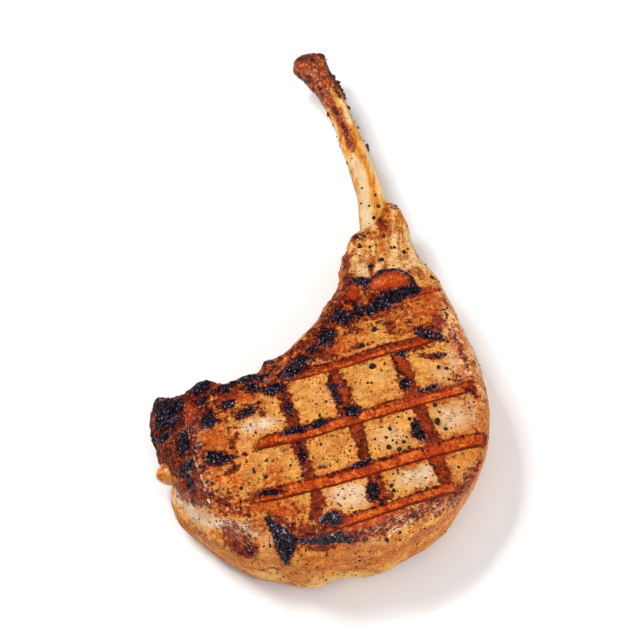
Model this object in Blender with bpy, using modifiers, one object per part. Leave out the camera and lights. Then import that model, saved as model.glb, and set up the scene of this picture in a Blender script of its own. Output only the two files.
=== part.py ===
"""Long-bone pork chop, grilled, lying flat with its marked face up.

Metres, +Z up. The origin is on the surface the chop rests on, under the middle of its
length and width. The bone points along +Y. Four solids: the meat, the band of fat that
wraps its outer edge, the cleaned rib bone, and a nub of fat at the chine end.
"""
import math

import bmesh
import bpy
from mathutils import Matrix, Vector, noise

MM = 0.001

# Driving sizes
THICKNESS = 34.0 * MM          # the slab, before its face is domed
RIM = 6.5 * MM                 # rounding between the faces and the side
GRAIN = 3.5 * MM               # size of the facets on the body
GAP = 0.3 * MM                 # space between neighbouring pieces

# Plan of the meat and its fat, once round from the tip of the cuff, in millimetres
NECK_RIGHT = ((29.5, 44.5), (34, 42.5), (37.5, 36), (39.5, 24), (42.3, 15), (47, 7), (50.5, 0))
RIGHT_SIDE = ((54.5, -9), (59, -22), (65, -38), (68.5, -54), (68.7, -68), (65.4, -83.5))
NEAR_SIDE = ((58, -97.4), (46.2, -112.6), (34.5, -120.2), (22, -126.5), (8, -127.2),
             (-5, -131.8), (-16, -128.6), (-27, -126.8))
FAT_LOBE = ((-39, -119.2), (-51, -109.7), (-59.4, -99), (-58.6, -93.5))
CHINE_END = ((-57.5, -89.5), (-63.5, -82), (-67.6, -72), (-69.8, -60.5), (-67, -54.6), (-58, -57.4))
HOLLOW_EDGE = ((-52, -52.4), (-45, -50.8), (-36.5, -51.2), (-31.5, -47.4), (-26.5, -47.3),
               (-22, -41.9), (-14.5, -38.5), (-9.5, -31.4), (-1.2, -22), (1.6, -15.4), (7.7, -5),
               (9.9, 4), (9.7, 12), (13, 18.3), (14.6, 26), (21, 29), (25.5, 38))
PLAN = NECK_RIGHT + RIGHT_SIDE + NEAR_SIDE + FAT_LOBE + CHINE_END + HOLLOW_EDGE

# The seam between the meat and the fat, from the notch at the chine end to the neck
LOBE_SEAM = ((-56.5, -91.5), (-51.5, -100.5), (-43, -108), (-32, -111.8), (-21, -114), (-10, -121))
OUTER_SEAM = ((6, -121), (22, -118.2), (36, -110.5), (48, -99.8), (57, -86), (60.5, -70),
              (59, -54), (54, -38), (50, -22), (47.5, -8), (45, 3))
BEYOND_SEAM = ((58, 12), (90, -20), (95, -80), (60, -135), (0, -155), (-60, -130), (-80, -100))
BLOCK_HEIGHT = 90 * MM         # of the blocks that part the body along the seam

# The upper face: a shallow dome over the eye muscle, with a slow unevenness
EYE = (12 * MM, -66 * MM)
DOME = 2.4 * MM
DOME_REACH = (64 * MM, 66 * MM)
DOME_FLOOR = -0.6              # how many domes the face may fall below the slab
SWELL = 0.9 * MM
SWELL_LENGTH = 24 * MM

# The side: a low belly at mid height, and a ripple
BELLY = 0.8 * MM
RIPPLE = 0.9 * MM
RIPPLE_LENGTH = 14 * MM

# The chine end, where the face slopes down past a crease
CREASE_TOP = (-55 * MM, -66 * MM)
CREASE_FOOT = (-44 * MM, -106 * MM)
CREASE_RISE = 1.1 * MM
CREASE_WIDTH = 2.5 * MM
CHINE_DROP = 8.5 * MM
CHINE_RUN = 17 * MM

# The pale lobe of fat, which lies lower than the face, and the cleft that ends it
LOBE_DROP = 5.5 * MM
LOBE_STEP = 5 * MM
LOBE_END = (-24 * MM, -12 * MM)
CLEFT_X = -17.5 * MM
CLEFT_DEPTH = 3.2 * MM
CLEFT_WIDTH = 3.4 * MM
CLEFT_Y = (-108 * MM, -122 * MM)

# The neck, where the meat thins and closes round the bone
NECK = (-6 * MM, 42 * MM)
NECK_SHOULDER = (0 * MM, 14 * MM)
NECK_TOP = 26 * MM
NECK_BOTTOM = 10.5 * MM
NECK_RISE = (-2 * MM, 36 * MM)

# Torn flaps that stand up beside the neck: middle, half length, half width, turn, height
FLAPS = (
    ((29 * MM, -7 * MM), 12.5 * MM, 6.6 * MM, math.radians(22), 3.6 * MM),
    ((11.5 * MM, -15 * MM), 12 * MM, 5.8 * MM, math.radians(62), 2.8 * MM),
)
FLAP_EDGE = (0.35, 1.5)        # where a flap starts to fall and where it has gone
GROOVE_ENDS = ((20.5 * MM, 4 * MM), (16.5 * MM, -22 * MM))
GROOVE_WIDTH = 2.2 * MM
GROOVE_DEPTH = 3.0 * MM

# Charred lumps along the hollow edge: x, y, radius and height, in millimetres
LUMPS = ((3, -33, 5.5, 2.2), (-6, -40, 5.0, 1.4), (-12, -49, 6.0, 1.9), (-24, -52, 4.5, 1.5),
         (-37, -57, 6.5, 1.6), (-49, -58, 5.5, 1.8), (-62, -62, 6.0, 2.0))

# Rib bone: y, x and half width along its length, in millimetres
BONE_STATIONS = ((131.0, -2.8, 3.6), (129.6, -3.4, 6.6), (126.8, -4.6, 8.2), (123, -4.1, 8.6),
                 (118.5, -1.3, 8.0), (112, 2.5, 6.7), (105, 5.8, 5.8), (96, 9.1, 5.4),
                 (86, 12.5, 5.4), (76, 15.9, 6.0), (66, 19.0, 6.2), (56, 21.6, 6.5),
                 (46, 23.7, 6.8), (36, 24.8, 7.2), (26, 25.6, 7.2), (16, 26.4, 7.0),
                 (6, 26.8, 6.4), (2.4, 26.8, 5.2), (0.8, 26.8, 3.0))
BONE_HEIGHT = 18.2 * MM        # height of its middle above the rest
BONE_FLATNESS = 0.68           # thickness over width
BONE_SIDES = 22
BONE_SQUARENESS = 2.5          # exponent of its section: 2 is an ellipse
BONE_LONG_STEP = 4.0           # millimetres between stations that need one more between
RIDGE_DEPTH = 0.035            # of the three long ridges, over the half width
RIDGE_TURN = 120.0             # radians per metre by which they wind round

NUB_CENTRE = (-62.2 * MM, -84.0 * MM, 10.5 * MM)
NUB_RADII = (5.4 * MM, 5.0 * MM, 4.8 * MM)
NUB_LUMPS = 0.10


def clear_scene():
    """Remove everything that the scene holds."""
    for item in list(bpy.data.objects):
        bpy.data.objects.remove(item, do_unlink=True)


def new_collection(name):
    """Make a collection in the scene."""
    collection = bpy.data.collections.new(name)
    bpy.context.scene.collection.children.link(collection)
    return collection


def add_mesh(name, mesh, collection):
    """Put a mesh in the scene as an object."""
    item = bpy.data.objects.new(name, mesh)
    collection.objects.link(item)
    return item


def settled_mesh(item, name):
    """Copy the mesh that an object has after its modifiers, and remove the object."""
    bpy.context.view_layer.update()
    graph = bpy.context.evaluated_depsgraph_get()
    mesh = bpy.data.meshes.new_from_object(item.evaluated_get(graph))
    mesh.name = name
    mesh.transform(item.matrix_world)
    bpy.data.objects.remove(item, do_unlink=True)
    return mesh


def edit(mesh, change):
    """Run one change on a mesh."""
    work = bmesh.new()
    work.from_mesh(mesh)
    change(work)
    work.to_mesh(mesh)
    work.free()
    mesh.update()


def weld(work):
    """Join the loose caps of a mesh that was a curve."""
    bmesh.ops.remove_doubles(work, verts=work.verts, dist=0.01 * MM)


def plate(name, points, height, rim, grow, collection):
    """A flat plate with a smooth outline through points (mm), grown by a margin, and
    with rounded rims."""
    curve = bpy.data.curves.new(name, "CURVE")
    curve.dimensions = "2D"
    curve.fill_mode = "BOTH"
    curve.resolution_u = 4
    curve.extrude = height / 2 - rim
    curve.bevel_depth = rim
    curve.bevel_resolution = 3
    curve.offset = grow - rim
    spline = curve.splines.new("BEZIER")
    spline.bezier_points.add(len(points) - 1)
    for knot, (x, y) in zip(spline.bezier_points, points):
        knot.co = (x * MM, y * MM, 0)
        knot.handle_left_type = "AUTO"
        knot.handle_right_type = "AUTO"
    spline.use_cyclic_u = True
    item = bpy.data.objects.new(name, curve)
    item.location.z = height / 2
    collection.objects.link(item)
    mesh = settled_mesh(item, name)
    edit(mesh, weld)
    return mesh


def smooth_step(value, start, end):
    """Go from 0 to 1 between start and end, level at both."""
    t = min(max((value - start) / (end - start), 0.0), 1.0)
    return t * t * (3 - 2 * t)


def bell(distance, width):
    """A smooth bump of height 1."""
    return math.exp(-((distance / width) ** 2))


def to_segment(point, start, end):
    """Distance from a point to a segment in plan, positive on the segment's right."""
    run = Vector(end) - Vector(start)
    reach = Vector(point) - Vector(start)
    along = min(max(reach.dot(run) / run.length_squared, 0.0), 1.0)
    side = reach.x * run.y - reach.y * run.x
    return math.copysign((reach - run * along).length, side)


def outside_lobe_seam(x, y):
    """How far a point lies outside the seam of the pale lobe, negative inside."""
    knots = [(a * MM, b * MM) for a, b in LOBE_SEAM]
    return min((to_segment((x, y), a, b) for a, b in zip(knots, knots[1:])), key=abs)


def flap_height(x, y):
    """Height that the torn flaps, and the groove between them, add to the face."""
    height = 0.0
    for (middle_x, middle_y), half_length, half_width, turn, rise in FLAPS:
        dx = x - middle_x
        dy = y - middle_y
        along = (dx * math.cos(turn) + dy * math.sin(turn)) / half_length
        across = (dy * math.cos(turn) - dx * math.sin(turn)) / half_width
        height = max(height, rise * (1 - smooth_step(along ** 4 + across ** 4, *FLAP_EDGE)))
    groove = bell(to_segment((x, y), *GROOVE_ENDS), GROOVE_WIDTH)
    return height - GROOVE_DEPTH * groove


def lump_height(x, y):
    """Height that the charred lumps add along the hollow edge."""
    return sum(rise * MM * bell(math.hypot(x - middle_x * MM, y - middle_y * MM), radius * MM)
               for middle_x, middle_y, radius, rise in LUMPS)


def chine_height(x, y):
    """Height of the crease and the slope at the chine end, over the level face."""
    run = Vector(CREASE_FOOT) - Vector(CREASE_TOP)
    past = ((x - CREASE_TOP[0]) * run.y - (y - CREASE_TOP[1]) * run.x) / run.length
    ridge = CREASE_RISE * bell(past + CREASE_WIDTH / 2, CREASE_WIDTH)
    return ridge - CHINE_DROP * smooth_step(past, 0.0, CHINE_RUN)


def lobe_height(x, y):
    """Height of the pale lobe over the level face: it lies lower than the meat."""
    outside = smooth_step(outside_lobe_seam(x, y), -LOBE_STEP / 3, LOBE_STEP)
    return -LOBE_DROP * outside * (1 - smooth_step(x, *LOBE_END))


def face_height(x, y):
    """Height of the upper face above the rest."""
    dx = (x - EYE[0]) / DOME_REACH[0]
    dy = (y - EYE[1]) / DOME_REACH[1]
    height = THICKNESS + DOME * max(1 - dx * dx - dy * dy, DOME_FLOOR)
    height += SWELL * noise.noise(Vector((x, y, 0.0)) / SWELL_LENGTH)
    height += chine_height(x, y) + lobe_height(x, y) + flap_height(x, y) + lump_height(x, y)
    fall = 0.55 * smooth_step(y, *NECK) + 0.45 * smooth_step(y, *NECK_SHOULDER)
    return height + (NECK_TOP - THICKNESS) * fall


def shape_body(work):
    """Give the slab its uneven face, belly, cleft, thin neck and level underside."""
    for vert in work.verts:
        x, y, z = vert.co
        low = NECK_BOTTOM * smooth_step(y, *NECK_RISE)
        level = min(max(z / THICKNESS, 0.0), 1.0)
        vert.co.z = low + level * (face_height(x, y) - low)
        cleft = bell(x - CLEFT_X, CLEFT_WIDTH) * smooth_step(y, *CLEFT_Y)
        vert.co.y += CLEFT_DEPTH * cleft * smooth_step(level, 0.1, 0.7)
        belly = BELLY * (1 - (2 * level - 1) ** 2)
        ripple = RIPPLE * noise.noise(Vector((x, y, z)) / RIPPLE_LENGTH)
        vert.co += Vector((vert.normal.x, vert.normal.y, 0.0)) * (belly + ripple)
    bmesh.ops.smooth_vert(work, verts=work.verts, factor=0.4, use_axis_x=True,
                          use_axis_y=True, use_axis_z=True)
    for vert in work.verts:
        if vert.co.z < 0.9 * MM and vert.co.y < NECK[0]:
            vert.co.z = 0.0


def merge_flat(work):
    """Join the facets of the level underside into one."""
    level = [face for face in work.faces if all(vert.co.z == 0.0 for vert in face.verts)]
    bmesh.ops.dissolve_faces(work, faces=level, use_verts=True)


def body_mesh(collection):
    """The whole chop without its bone, before it is parted into meat and fat."""
    slab = add_mesh("body", plate("body", PLAN, THICKNESS, RIM, 0.0, collection), collection)
    remesh = slab.modifiers.new("even facets", "REMESH")
    remesh.mode = "VOXEL"
    remesh.voxel_size = GRAIN
    mesh = settled_mesh(slab, "body")
    edit(mesh, shape_body)
    edit(mesh, merge_flat)
    return mesh


def rounded(value):
    """Bend a cosine or sine so that a circle becomes a rounded square."""
    return math.copysign(abs(value) ** (2 / BONE_SQUARENESS), value)


def bone_ring(work, station, clearance):
    """One section of the bone: a flattened rounded square with three ridges."""
    y, x, half_width = (value * MM for value in station)
    half_depth = half_width * BONE_FLATNESS
    ring = []
    for index in range(BONE_SIDES):
        angle = math.tau * index / BONE_SIDES
        ridge = 1 + RIDGE_DEPTH * math.cos(3 * angle + RIDGE_TURN * y)
        across = (half_width + clearance) * rounded(math.cos(angle)) * ridge
        up = (half_depth + clearance) * rounded(math.sin(angle)) * ridge
        ring.append(work.verts.new((x + across, y, BONE_HEIGHT + up)))
    return ring


def bone_stations():
    """The bone's stations, with smooth ones between those that lie far apart."""
    filled = []
    last = len(BONE_STATIONS) - 1
    for index in range(last):
        a, b, c, d = (Vector(BONE_STATIONS[min(max(index + step, 0), last)])
                      for step in (-1, 0, 1, 2))
        filled.append(b)
        if abs(c.x - b.x) > BONE_LONG_STEP:
            filled.append((9 * (b + c) - a - d) / 16)
    filled.append(Vector(BONE_STATIONS[last]))
    return filled


def bone_mesh(name, clearance):
    """The bone, lofted through its stations, or its socket when there is a clearance."""
    work = bmesh.new()
    rings = [bone_ring(work, station, clearance) for station in bone_stations()]
    for near, far in zip(rings, rings[1:]):
        for index in range(BONE_SIDES):
            after = (index + 1) % BONE_SIDES
            work.faces.new((near[index], near[after], far[after], far[index]))
    work.faces.new(rings[0])
    work.faces.new(rings[-1])
    bmesh.ops.recalc_face_normals(work, faces=work.faces)
    mesh = bpy.data.meshes.new(name)
    work.to_mesh(mesh)
    work.free()
    return mesh


def nub_mesh(name, clearance):
    """The small nub of fat, a lumpy ball, or its pocket when there is a clearance."""
    work = bmesh.new()
    bmesh.ops.create_icosphere(work, subdivisions=3, radius=1.0)
    for vert in work.verts:
        lump = 1 + NUB_LUMPS * noise.noise(vert.co * 1.7)
        reach = [radius * lump + clearance for radius in NUB_RADII]
        vert.co = Vector(NUB_CENTRE) + Vector([a * b for a, b in zip(vert.co, reach)])
    mesh = bpy.data.meshes.new(name)
    work.to_mesh(mesh)
    work.free()
    return mesh


def band_mesh(name, grow, collection):
    """A tall block over everything outside the seam, grown by a margin."""
    points = LOBE_SEAM + OUTER_SEAM + BEYOND_SEAM
    mesh = plate(name, points, BLOCK_HEIGHT, 0.0, grow, collection)
    mesh.transform(Matrix.Translation((0, 0, (THICKNESS - BLOCK_HEIGHT) / 2)))
    return mesh


def cutter(name, mesh, collection):
    """An object that only cuts others."""
    item = add_mesh(name, mesh, collection)
    item.hide_render = True
    item.display_type = "WIRE"
    return item


def cut(item, tool, operation):
    """Cut one object by another."""
    modifier = item.modifiers.new(tool.name, "BOOLEAN")
    modifier.operation = operation
    modifier.solver = "EXACT"
    modifier.object = tool


def finish(item, name, colour, roughness):
    """Give a piece its material and smooth shading."""
    look = bpy.data.materials.new(name)
    look.use_nodes = True
    shader = look.node_tree.nodes["Principled BSDF"]
    shader.inputs["Base Color"].default_value = (*colour, 1.0)
    shader.inputs["Roughness"].default_value = roughness
    shader.inputs["Metallic"].default_value = 0.0
    item.data.materials.clear()
    item.data.materials.append(look)
    item.data.shade_smooth()


def build():
    """Make the four pieces of the chop."""
    clear_scene()
    chop = new_collection("pork_chop")
    cutters = new_collection("cutters")

    body = body_mesh(cutters)
    fat_side = cutter("fat_side", band_mesh("fat_side", 0.0, cutters), cutters)
    not_meat = cutter("not_meat", band_mesh("not_meat", GAP, cutters), cutters)
    socket = cutter("bone_socket", bone_mesh("bone_socket", GAP), cutters)
    pocket = cutter("nub_pocket", nub_mesh("nub_pocket", GAP), cutters)

    meat = add_mesh("meat", body, chop)
    cut(meat, not_meat, "DIFFERENCE")
    cut(meat, socket, "DIFFERENCE")
    cut(meat, pocket, "DIFFERENCE")
    finish(meat, "grilled_meat", (0.42, 0.15, 0.04), 0.45)

    fat = add_mesh("fat_cap", body.copy(), chop)
    cut(fat, fat_side, "INTERSECT")
    cut(fat, pocket, "DIFFERENCE")
    finish(fat, "browned_fat", (0.62, 0.34, 0.13), 0.40)

    bone = add_mesh("rib_bone", bone_mesh("rib_bone", 0.0), chop)
    finish(bone, "roasted_bone", (0.60, 0.32, 0.12), 0.50)

    nub = add_mesh("fat_nub", nub_mesh("fat_nub", 0.0), chop)
    finish(nub, "rendered_fat", (0.55, 0.24, 0.04), 0.35)


build()
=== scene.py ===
# %% [markdown]
# # A grilled long-bone pork chop
#
# The chop lies flat with its marked face up. It has a thick eye of meat, a band of fat
# round its outer edge, a rib bone scraped clean, and a nub of fat at the chine end.
# The measured solids give every place and size; this file gives them their skin:
# the seared crust, the grill bars, the char, the pepper and the roasted bone.

import math

import bmesh
import bpy
import numpy as np
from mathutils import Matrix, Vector
from mathutils.bvhtree import BVHTree


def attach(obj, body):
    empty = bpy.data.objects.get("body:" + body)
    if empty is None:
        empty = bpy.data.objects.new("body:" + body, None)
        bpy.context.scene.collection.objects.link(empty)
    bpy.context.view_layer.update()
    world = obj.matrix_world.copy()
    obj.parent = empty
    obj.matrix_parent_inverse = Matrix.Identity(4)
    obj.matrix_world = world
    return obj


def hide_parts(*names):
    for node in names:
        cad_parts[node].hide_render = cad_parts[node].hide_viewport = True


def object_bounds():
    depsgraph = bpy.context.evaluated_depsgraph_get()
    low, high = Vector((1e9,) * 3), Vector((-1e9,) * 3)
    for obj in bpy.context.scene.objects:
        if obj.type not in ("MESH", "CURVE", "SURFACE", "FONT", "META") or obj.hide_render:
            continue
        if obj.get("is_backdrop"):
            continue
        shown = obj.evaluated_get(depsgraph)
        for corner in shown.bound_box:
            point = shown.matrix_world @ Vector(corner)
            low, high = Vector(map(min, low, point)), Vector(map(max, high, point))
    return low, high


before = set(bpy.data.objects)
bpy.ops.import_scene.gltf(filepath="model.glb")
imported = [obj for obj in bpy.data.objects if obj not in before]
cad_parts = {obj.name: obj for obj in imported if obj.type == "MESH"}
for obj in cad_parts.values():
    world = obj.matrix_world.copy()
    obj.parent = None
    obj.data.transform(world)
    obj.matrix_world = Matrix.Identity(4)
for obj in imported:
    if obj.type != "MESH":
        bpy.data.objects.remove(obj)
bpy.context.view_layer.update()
MM = 0.001

# %% [markdown]
# ## Camera
# The chop is seen from above its near edge, looking down at 60 degrees, through a long
# lens from 65 cm away. A long lens keeps the far bone from shrinking too much.
# The camera comes first, so that every later step can be judged in the same view.

# %% Set the camera
ELEVATION = math.radians(60)
DISTANCE = 0.65
AIM = Vector((0.0, -16 * MM, 20 * MM))

lens = bpy.data.cameras.new("view")
lens.lens = 85
lens.sensor_width = 36
camera = bpy.data.objects.new("view", lens)
bpy.context.scene.collection.objects.link(camera)
away = Vector((0.0, -math.cos(ELEVATION), math.sin(ELEVATION)))
camera.location = AIM + away * DISTANCE
camera.rotation_euler = away.to_track_quat("Z", "Y").to_euler()
bpy.context.scene.camera = camera
print("camera at", [round(value, 3) for value in camera.location])

# %% [markdown]
# ## Repeatable unevenness
# Nothing on grilled meat is even. A lattice of pseudo-random numbers, blended between
# its points, gives the same unevenness on every run. Adding finer and weaker layers
# makes it look natural at every distance. Working on whole arrays keeps it quick.

# %% Noise on arrays of points
def lattice(cell, seed):
    """A number from -1 to 1 for each whole-number cell."""
    cell = cell.astype(np.int64)
    mixed = cell[:, 0] * 374761393 + cell[:, 1] * 668265263 + cell[:, 2] * 1440662683
    mixed = (mixed + seed * 974634777) & 0xFFFFFFFF
    mixed = ((mixed ^ (mixed >> 13)) * 1274126177) & 0xFFFFFFFF
    return ((mixed ^ (mixed >> 16)) & 0xFFFF) / 32767.5 - 1


def noise(points, size, seed=0):
    """Smooth noise from -1 to 1 with lumps of about the given size, or three sizes."""
    scaled = points / size
    cell = np.floor(scaled)
    part = scaled - cell
    part = part * part * (3 - 2 * part)
    total = np.zeros(len(points))
    for corner in range(8):
        step = np.array([corner & 1, corner >> 1 & 1, corner >> 2 & 1])
        share = np.prod(np.where(step, part, 1 - part), axis=1)
        total += share * lattice(cell + step, seed)
    return total


def layered(points, size, layers=3, seed=0):
    """Noise with finer, weaker layers added, still about -1 to 1."""
    total = np.zeros(len(points))
    for layer in range(layers):
        total += noise(points, np.asarray(size) / 2.03 ** layer, seed + 17 * layer) / 1.8 ** layer
    return total / 1.6


def rise(value, low, high):
    """From 0 at low to 1 at high, level at both ends."""
    part = np.clip((value - low) / (high - low), 0, 1)
    return part * part * (3 - 2 * part)


# %% [markdown]
# ## The body of the chop
# Meat and fat are two solids with a hair's gap between them, but they were seared as
# one piece, so the crust runs over both without a break. Copies of both solids are
# grown until they touch, the empty socket is plugged, and a voxel remesh fuses them
# into one even skin of small squares. Smoothing takes out the solids' facets.

# %% Fuse the solids into one fine skin
SKIN_CELL = 0.62 * MM
GROW = 0.25 * MM
PLUG_END = 27 * MM
SMOOTHING_ROUNDS = 20


def grown_copy(node, amount):
    """A copy of a solid's mesh, pushed out along its normals."""
    copy = bmesh.new()
    copy.from_mesh(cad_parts[node].data)
    bmesh.ops.remove_doubles(copy, verts=copy.verts, dist=0.001 * MM)
    copy.normal_update()
    for vert in copy.verts:
        vert.co += vert.normal * amount
    return copy


def settle(item):
    """Replace an object's mesh with what its modifiers make of it."""
    bpy.context.view_layer.update()
    graph = bpy.context.evaluated_depsgraph_get()
    mesh = bpy.data.meshes.new_from_object(item.evaluated_get(graph))
    item.modifiers.clear()
    item.data = mesh


def new_piece(name, mesh):
    """Put a mesh in the scene under a name."""
    piece = bpy.data.objects.new(name, mesh)
    bpy.context.scene.collection.objects.link(piece)
    return piece


body_mesh = bpy.data.meshes.new("body")
joined = bmesh.new()
for node in ("meat", "fat_cap", "rib_bone"):
    part = grown_copy(node, 2 * GROW if node == "rib_bone" else GROW)
    if node == "rib_bone":
        everything = list(part.verts) + list(part.edges) + list(part.faces)
        bmesh.ops.bisect_plane(part, geom=everything, plane_co=(0, PLUG_END, 0),
                               plane_no=(0, 1, 0), clear_outer=True)
        bmesh.ops.holes_fill(part, edges=part.edges)
    part.to_mesh(body_mesh)
    part.free()
    joined.from_mesh(body_mesh)
joined.to_mesh(body_mesh)
joined.free()

body = new_piece("body", body_mesh)
remesh = body.modifiers.new("even skin", "REMESH")
remesh.mode = "VOXEL"
remesh.voxel_size = SKIN_CELL
smooth = body.modifiers.new("smooth", "SMOOTH")
smooth.factor = 0.5
smooth.iterations = SMOOTHING_ROUNDS
settle(body)
print("body skin", len(body.data.vertices), "points", len(body.data.polygons), "faces")

# %% Read the skin as arrays, in millimetres
def read_points(mesh):
    """The points and normals of a mesh as arrays, points in millimetres."""
    points = np.empty(len(mesh.vertices) * 3)
    normals = np.empty(len(mesh.vertices) * 3)
    mesh.vertices.foreach_get("co", points)
    mesh.vertex_normals.foreach_get("vector", normals)
    return points.reshape(-1, 3) / MM, normals.reshape(-1, 3)


SKIN, SKIN_NORMAL = read_points(body.data)
X, Y, Z = SKIN.T
UP = rise(SKIN_NORMAL[:, 2], 0.05, 0.5)
DOWN = rise(-SKIN_NORMAL[:, 2], 0.25, 0.75)
SIDE = (1 - UP) * (1 - DOWN)
print("highest point", round(Z.max(), 1), "mm; share facing up", round(UP.mean(), 2))

# %% [markdown]
# ## Where the grill touched
# The chop lay on a grate of parallel bars, was turned, and lay on it again, so two
# families of bars cross it. The later bars are pressed in as grooves with an even
# orange-brown floor; the earlier ones are broken and darker. A field that is 1 on a
# bar's middle line and falls off at its edges can drive both the groove and the colour.

# %% Grill bars as fields
# Each bar: height where it crosses x = 0, slope, first x, last x, half width (mm)
LATE_BARS = ((-48.8, 0.335, -15, 48, 2.0), (-75.7, 0.325, -25, 62, 2.4), (-99.2, 0.31, -27, 67, 2.5),
             (-118.8, 0.35, 2, 56, 1.8), (-24.5, 0.33, 16, 50, 1.3))
# Each bar: x where it crosses y = -75, lean, half width, strength
EARLY_BARS = ((-35.5, -0.345, 2.2, 0.3), (-10.6, -0.29, 3.0, 0.85), (13.9, -0.33, 3.1, 1.0),
              (42.6, -0.31, 3.0, 1.0), (63, -0.345, 2.4, 0.35))
UNDER_PITCH = 23.5


def late_bars(x, y, bars, wander):
    """How deep in a late bar each point lies, and how near its upper and lower edge."""
    inside, upper, lower = np.zeros((3, len(x)))
    for crossing, slope, first, last, half in bars:
        bend = 0.0032 * np.minimum(x, 0) ** 2
        across = (y - crossing - slope * x - bend) / math.hypot(1, slope) + wander
        ends = rise(x + 2 * wander, first - 6, first + 7) * rise(-x - 2 * wander, -last - 5, -last + 6)
        inside = np.maximum(inside, np.clip(1.5 - np.abs(across) / half, 0, 1) * ends)
        upper = np.maximum(upper, np.exp(-((across - half - 0.2) / 1.0) ** 2) * ends)
        lower = np.maximum(lower, np.exp(-((across + half - 0.25) / 0.8) ** 2) * ends)
    return inside, upper, lower


def early_bars(x, y, bars, wander):
    """How deep in an early bar each point lies, and how near its scorched left edge."""
    inside, left = np.zeros((2, len(x)))
    for crossing, lean, half, strength in bars:
        across = (x - crossing - lean * (y + 75)) / math.hypot(1, lean) + wander
        inside = np.maximum(inside, np.clip(1.5 - np.abs(across) / half, 0, 1) * strength)
        left = np.maximum(left, np.exp(-((across + half - 0.6) / 1.3) ** 2) * strength ** 2)
        left = np.maximum(left, 0.85 * np.exp(-((across - half + 0.4) / 1.0) ** 2) * strength ** 2)
    return inside, left


WANDER = 0.55 * layered(SKIN, (9, 9, 30), 3, seed=3)
LOOSE_WANDER = 2.2 * layered(SKIN, (7, 7, 30), 3, seed=4)
late_top, upper_top, lower_top = late_bars(X, Y, LATE_BARS, WANDER)
early_top, left_top = early_bars(X, Y, EARLY_BARS, LOOSE_WANDER)
crossed = rise(Y - 0.33 * X, -124, -112) * (1 - rise(Y - 0.33 * X, -54, -47)) * UP

under_late = [(y, -0.3, -90, 90, 2.4) for y in np.arange(-150, 60, UNDER_PITCH)]
under_early = [(x, -0.345, 2.6, 0.8) for x in np.arange(-90, 90, UNDER_PITCH)]
late_under, upper_under, lower_under = late_bars(X, Y, under_late, WANDER)
early_under, left_under = early_bars(X, -140 - Y, under_early, LOOSE_WANDER)
FLAT_UNDER = DOWN * (1 - rise(Y, -6, 10))

BAR = np.maximum(late_top * UP, late_under * FLAT_UNDER)
UPPER_EDGE = np.maximum(upper_top * UP, upper_under * FLAT_UNDER)
# LOWER_EDGE marks where a line of painted shade runs along each late bar's lower edge.
LOWER_EDGE = np.maximum(lower_top * UP, lower_under * FLAT_UNDER)
STAIN = np.maximum(early_top * crossed, early_under * FLAT_UNDER)
LEFT_EDGE = np.maximum(left_top * crossed, left_under * FLAT_UNDER)
print("share of the skin under late bars", round(float((BAR > 0.5).mean()), 3))

# %% [markdown]
# ## Where it is pale, brown or burnt
# Colour on the face follows heat: cream where the grate stood off, orange-brown where
# it was close, black where flame licked the thin edges. Wide zones are outlines with a
# soft border; small patches are soft ellipses. The shader breaks their edges up later,
# finer than any mesh could.
# A few masks mark painted highlights rather than heat.

# %% Zones and patches of browning and char
LEFT_END = ((-74, -50), (-60, -54), (-48, -51), (-43, -56), (-44, -64), (-42.5, -74), (-50, -76), (-49, -88),
            (-46, -98), (-44, -107.5), (-52, -103.5), (-58, -96), (-63, -86), (-74, -82))
LEFT_FIELD = ((-52, -60), (-36, -61), (-22, -62), (-33, -70), (-37, -80), (-34, -90), (-26, -97),
              (-28, -105), (-44, -103), (-54, -92))
HOLLOW_STRIP = ((-52, -48), (-34, -50), (-20, -42), (-6, -32), (2, -16), (8, -2), (14, -2), (18, -22),
                (10, -33), (1, -42), (-8, -50), (-18, -59), (-36, -62), (-52, -60))
UNDER_FLAP = ((17, -19), (30, -14), (42, -9), (50, -10), (54, -28), (50, -33), (40, -30), (31, -36),
              (26, -27), (14, -24))
FLAP_TOPS = ((10, -6), (16, -5), (24, -3), (34, 0), (41, -5), (42, -11), (30, -14), (18, -17), (12, -24), (6, -20))
RIGHT_BAND = ((47, -2), (54, -8), (62, -28), (68, -46), (71, -64), (64, -64), (59, -54), (56, -40), (51, -28),
              (46, -16))
FACE_FOOT = ((-50, -96), (-40, -101), (-28, -103), (-16, -106), (-4, -108), (-4, -114), (-19, -113.5),
             (-30, -113), (-39, -111.5), (-46, -108), (-52, -103.5))
NEAR_RIM = ((-24, -107), (-4, -115), (14, -115), (32, -111), (50, -101), (62, -86), (72, -80),
            (66, -98), (46, -112), (24, -122), (0, -126), (-16, -124))
RIGHT_RIM = ((54, -46), (64, -44), (74, -60), (72, -84), (62, -84), (60, -62))
TRIANGLE = ((-21, -113), (-17, -115), (-13, -118.5), (-8.5, -122.5), (-10, -126), (-12.5, -129.5),
            (-15.5, -127.5), (-17.5, -122.5), (-19, -117.5))
# Each zone: strength, softness (mm), outline
BROWN_ZONES = ((0.75, 6, LEFT_FIELD), (0.95, 4, HOLLOW_STRIP), (0.75, 4, UNDER_FLAP), (0.95, 2, FLAP_TOPS),
               (0.7, 3, FACE_FOOT), (0.6, 3, NEAR_RIM), (0.5, 4, RIGHT_RIM), (1.0, 3, LEFT_END))
DARK_ZONES = ((1.1, 2.5, LEFT_END), (0.55, 3, HOLLOW_STRIP))
STAIN_ZONES = ((0.55, 3, LEFT_END), (0.45, 2, FACE_FOOT), (0.62, 3, NEAR_RIM), (0.38, 4, UNDER_FLAP), (0.35, 3, FLAP_TOPS))
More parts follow.
